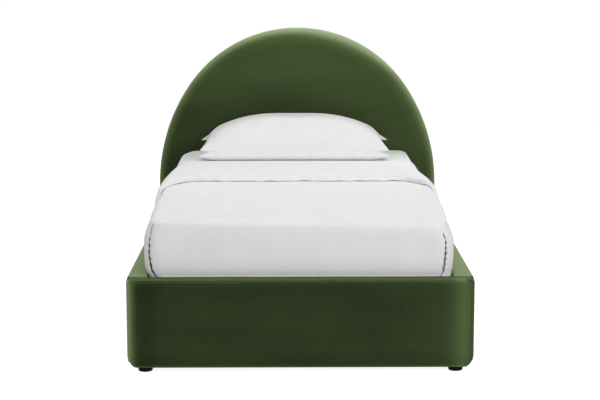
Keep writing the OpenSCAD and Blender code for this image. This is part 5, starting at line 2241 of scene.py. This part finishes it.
@dataclass
class Studio:
    """A pale floor, soft light and a camera where the photograph was taken."""

    focal_px: float = 1535.0
    width_px: int = 600
    sensor: float = 36.0
    place: Triple = (-0.033, -5.7865, 1.308)
    pitch: float = 8.92
    yaw: float = 0.38
    roll: float = -0.07
    world_light: float = 0.40
    floor_tone: float = 0.45
    floor_glow: float = 0.90
    floor_reach: float = 6.0
    lamps: tuple[Lamp, ...] = (
        Lamp("overhead", (0.0, -0.4, 3.6), (0.0, 0.0, 0.3), 3.4, 38.0),
        Lamp("front", (2.7, -5.2, 1.7), (0.0, -0.6, 0.4), 2.2, 118.0),
        Lamp("left", (-3.8, -2.6, 1.2), (-0.3, -0.6, 0.3), 1.6, 24.0),
        Lamp("behind", (0.7, 2.9, 2.7), (0.0, 0.9, 0.8), 1.6, 45.0))

    def camera(self) -> None:
        """Place the camera."""
        data = bpy.data.cameras.new("camera")
        data.sensor_width = self.sensor
        data.lens = self.sensor * self.focal_px / self.width_px
        found = placed("camera", data)
        yaw, pitch, roll = (math.radians(value) for value in (self.yaw, self.pitch, self.roll))
        forward = Vector((math.sin(yaw) * math.cos(pitch), math.cos(yaw) * math.cos(pitch), -math.sin(pitch)))
        right = Vector((math.cos(yaw), -math.sin(yaw), 0.0))
        up = right.cross(forward)
        side = math.cos(roll) * right + math.sin(roll) * up
        over = -math.sin(roll) * right + math.cos(roll) * up
        turn = Matrix((side, over, -forward)).transposed().to_4x4()
        found.matrix_world = Matrix.Translation(self.place) @ turn
        bpy.context.scene.camera = found

    @staticmethod
    def seen(board: Board, *rays: str) -> Field:
        """Give 1 for the kinds of ray that are named, and 0 for the others.

        Args:
            board: The board to work on.
            rays: The kinds of ray.

        Returns:
            The result.
        """
        path = board.add("LightPath").outputs
        found = Field(board, path[rays[0]])
        for ray in rays[1:]:
            found = found.most(Field(board, path[ray]))
        return found

    def world(self) -> None:
        """Fill the room with even light, and show it white to the camera, a mirror or glass."""
        world = bpy.data.worlds.new("room")
        world.use_nodes = True
        bpy.context.scene.world = world
        board = Board(world.node_tree)
        seen = self.seen(board, "Is Camera Ray", "Is Glossy Ray", "Is Transmission Ray")
        light = board.read("Background", 0, {"Color": WHITE, "Strength": seen + (1.0 - seen) * self.world_light})
        board.add("OutputWorld", {"Surface": light})

    def floor(self) -> None:
        """Lay the floor: pale, and nearly white to the camera apart from the bed's shadow."""
        work = Patchwork()
        steps = np.linspace(-self.floor_reach, self.floor_reach, 5)
        x, y = np.meshgrid(steps, steps, indexing="ij")
        work.patch(stacked(x, y, 0.0), stacked(x, y))
        floor = work.piece("floor", outward=False)
        found = bpy.data.materials.new("studio_floor")
        found.use_nodes = True
        board = Board(found.node_tree)
        pale = board.read("BsdfDiffuse", 0, {"Color": (self.floor_tone, self.floor_tone, self.floor_tone, 1.0)})
        strength = self.seen(board, "Is Camera Ray", "Is Glossy Ray") * self.floor_glow
        glow = board.read("Emission", 0, {"Color": WHITE, "Strength": strength})
        board.add("OutputMaterial", {"Surface": board.read("AddShader", 0, {0: pale, 1: glow})})
        floor.data.materials.append(found)

    def build(self) -> None:
        """Set up the whole studio."""
        bpy.context.scene.view_settings.view_transform = "Standard"
        self.camera()
        self.world()
        self.floor()
        for lamp in self.lamps:
            lamp.build()
        LOG.info("studio: camera, floor and lamps")


def main() -> None:
    """Dress the bed, and set it up for its picture."""
    logging.basicConfig(level=logging.INFO, format="%(name)s: %(message)s")
    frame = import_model()
    wardrobe = Wardrobe(Effects())
    repeats = Repeats(wardrobe)
    slots = {part["node"]: part["material_slot"] for part in frame["record"]["subparts"]}
    Woodwork(frame["nodes"]).build(wardrobe, slots)
    UpholsteredPanel(Side.FOOT, low_r=0.035, high_r=0.014, end_r=0.037).build(wardrobe, repeats)
    UpholsteredPanel(Side.LEFT).build(wardrobe, repeats)
    UpholsteredPanel(Side.RIGHT).build(wardrobe, repeats)
    Headboard().build(wardrobe, repeats)
    SlatStraps().build(wardrobe, repeats)
    Mattress().build(wardrobe)
    Duvet().build(wardrobe, repeats)
    lower = Pillow("pillow_below", "lower_pillow", width=0.810, depth=0.405, height=0.047, base_z=0.4774,
                   seam_share=0.45, powers=(8, 8, 12), cap=0.004, fill=0.5)
    upper = Pillow("pillow_above", "upper_pillow", width=0.790, depth=0.370, height=0.125, base_z=0.5248,
                   seam_share=0.28, powers=(2.95, 4, 8), cap=0.0045, draw=0.030, near_droop=0.038, near_push=0.020,
                   near_spread=0.009, far_droop=0.040, far_spread=0.032)
    upper.build(wardrobe, lower.build(wardrobe))
    Studio().build()


if __name__ == "__main__":
    main()
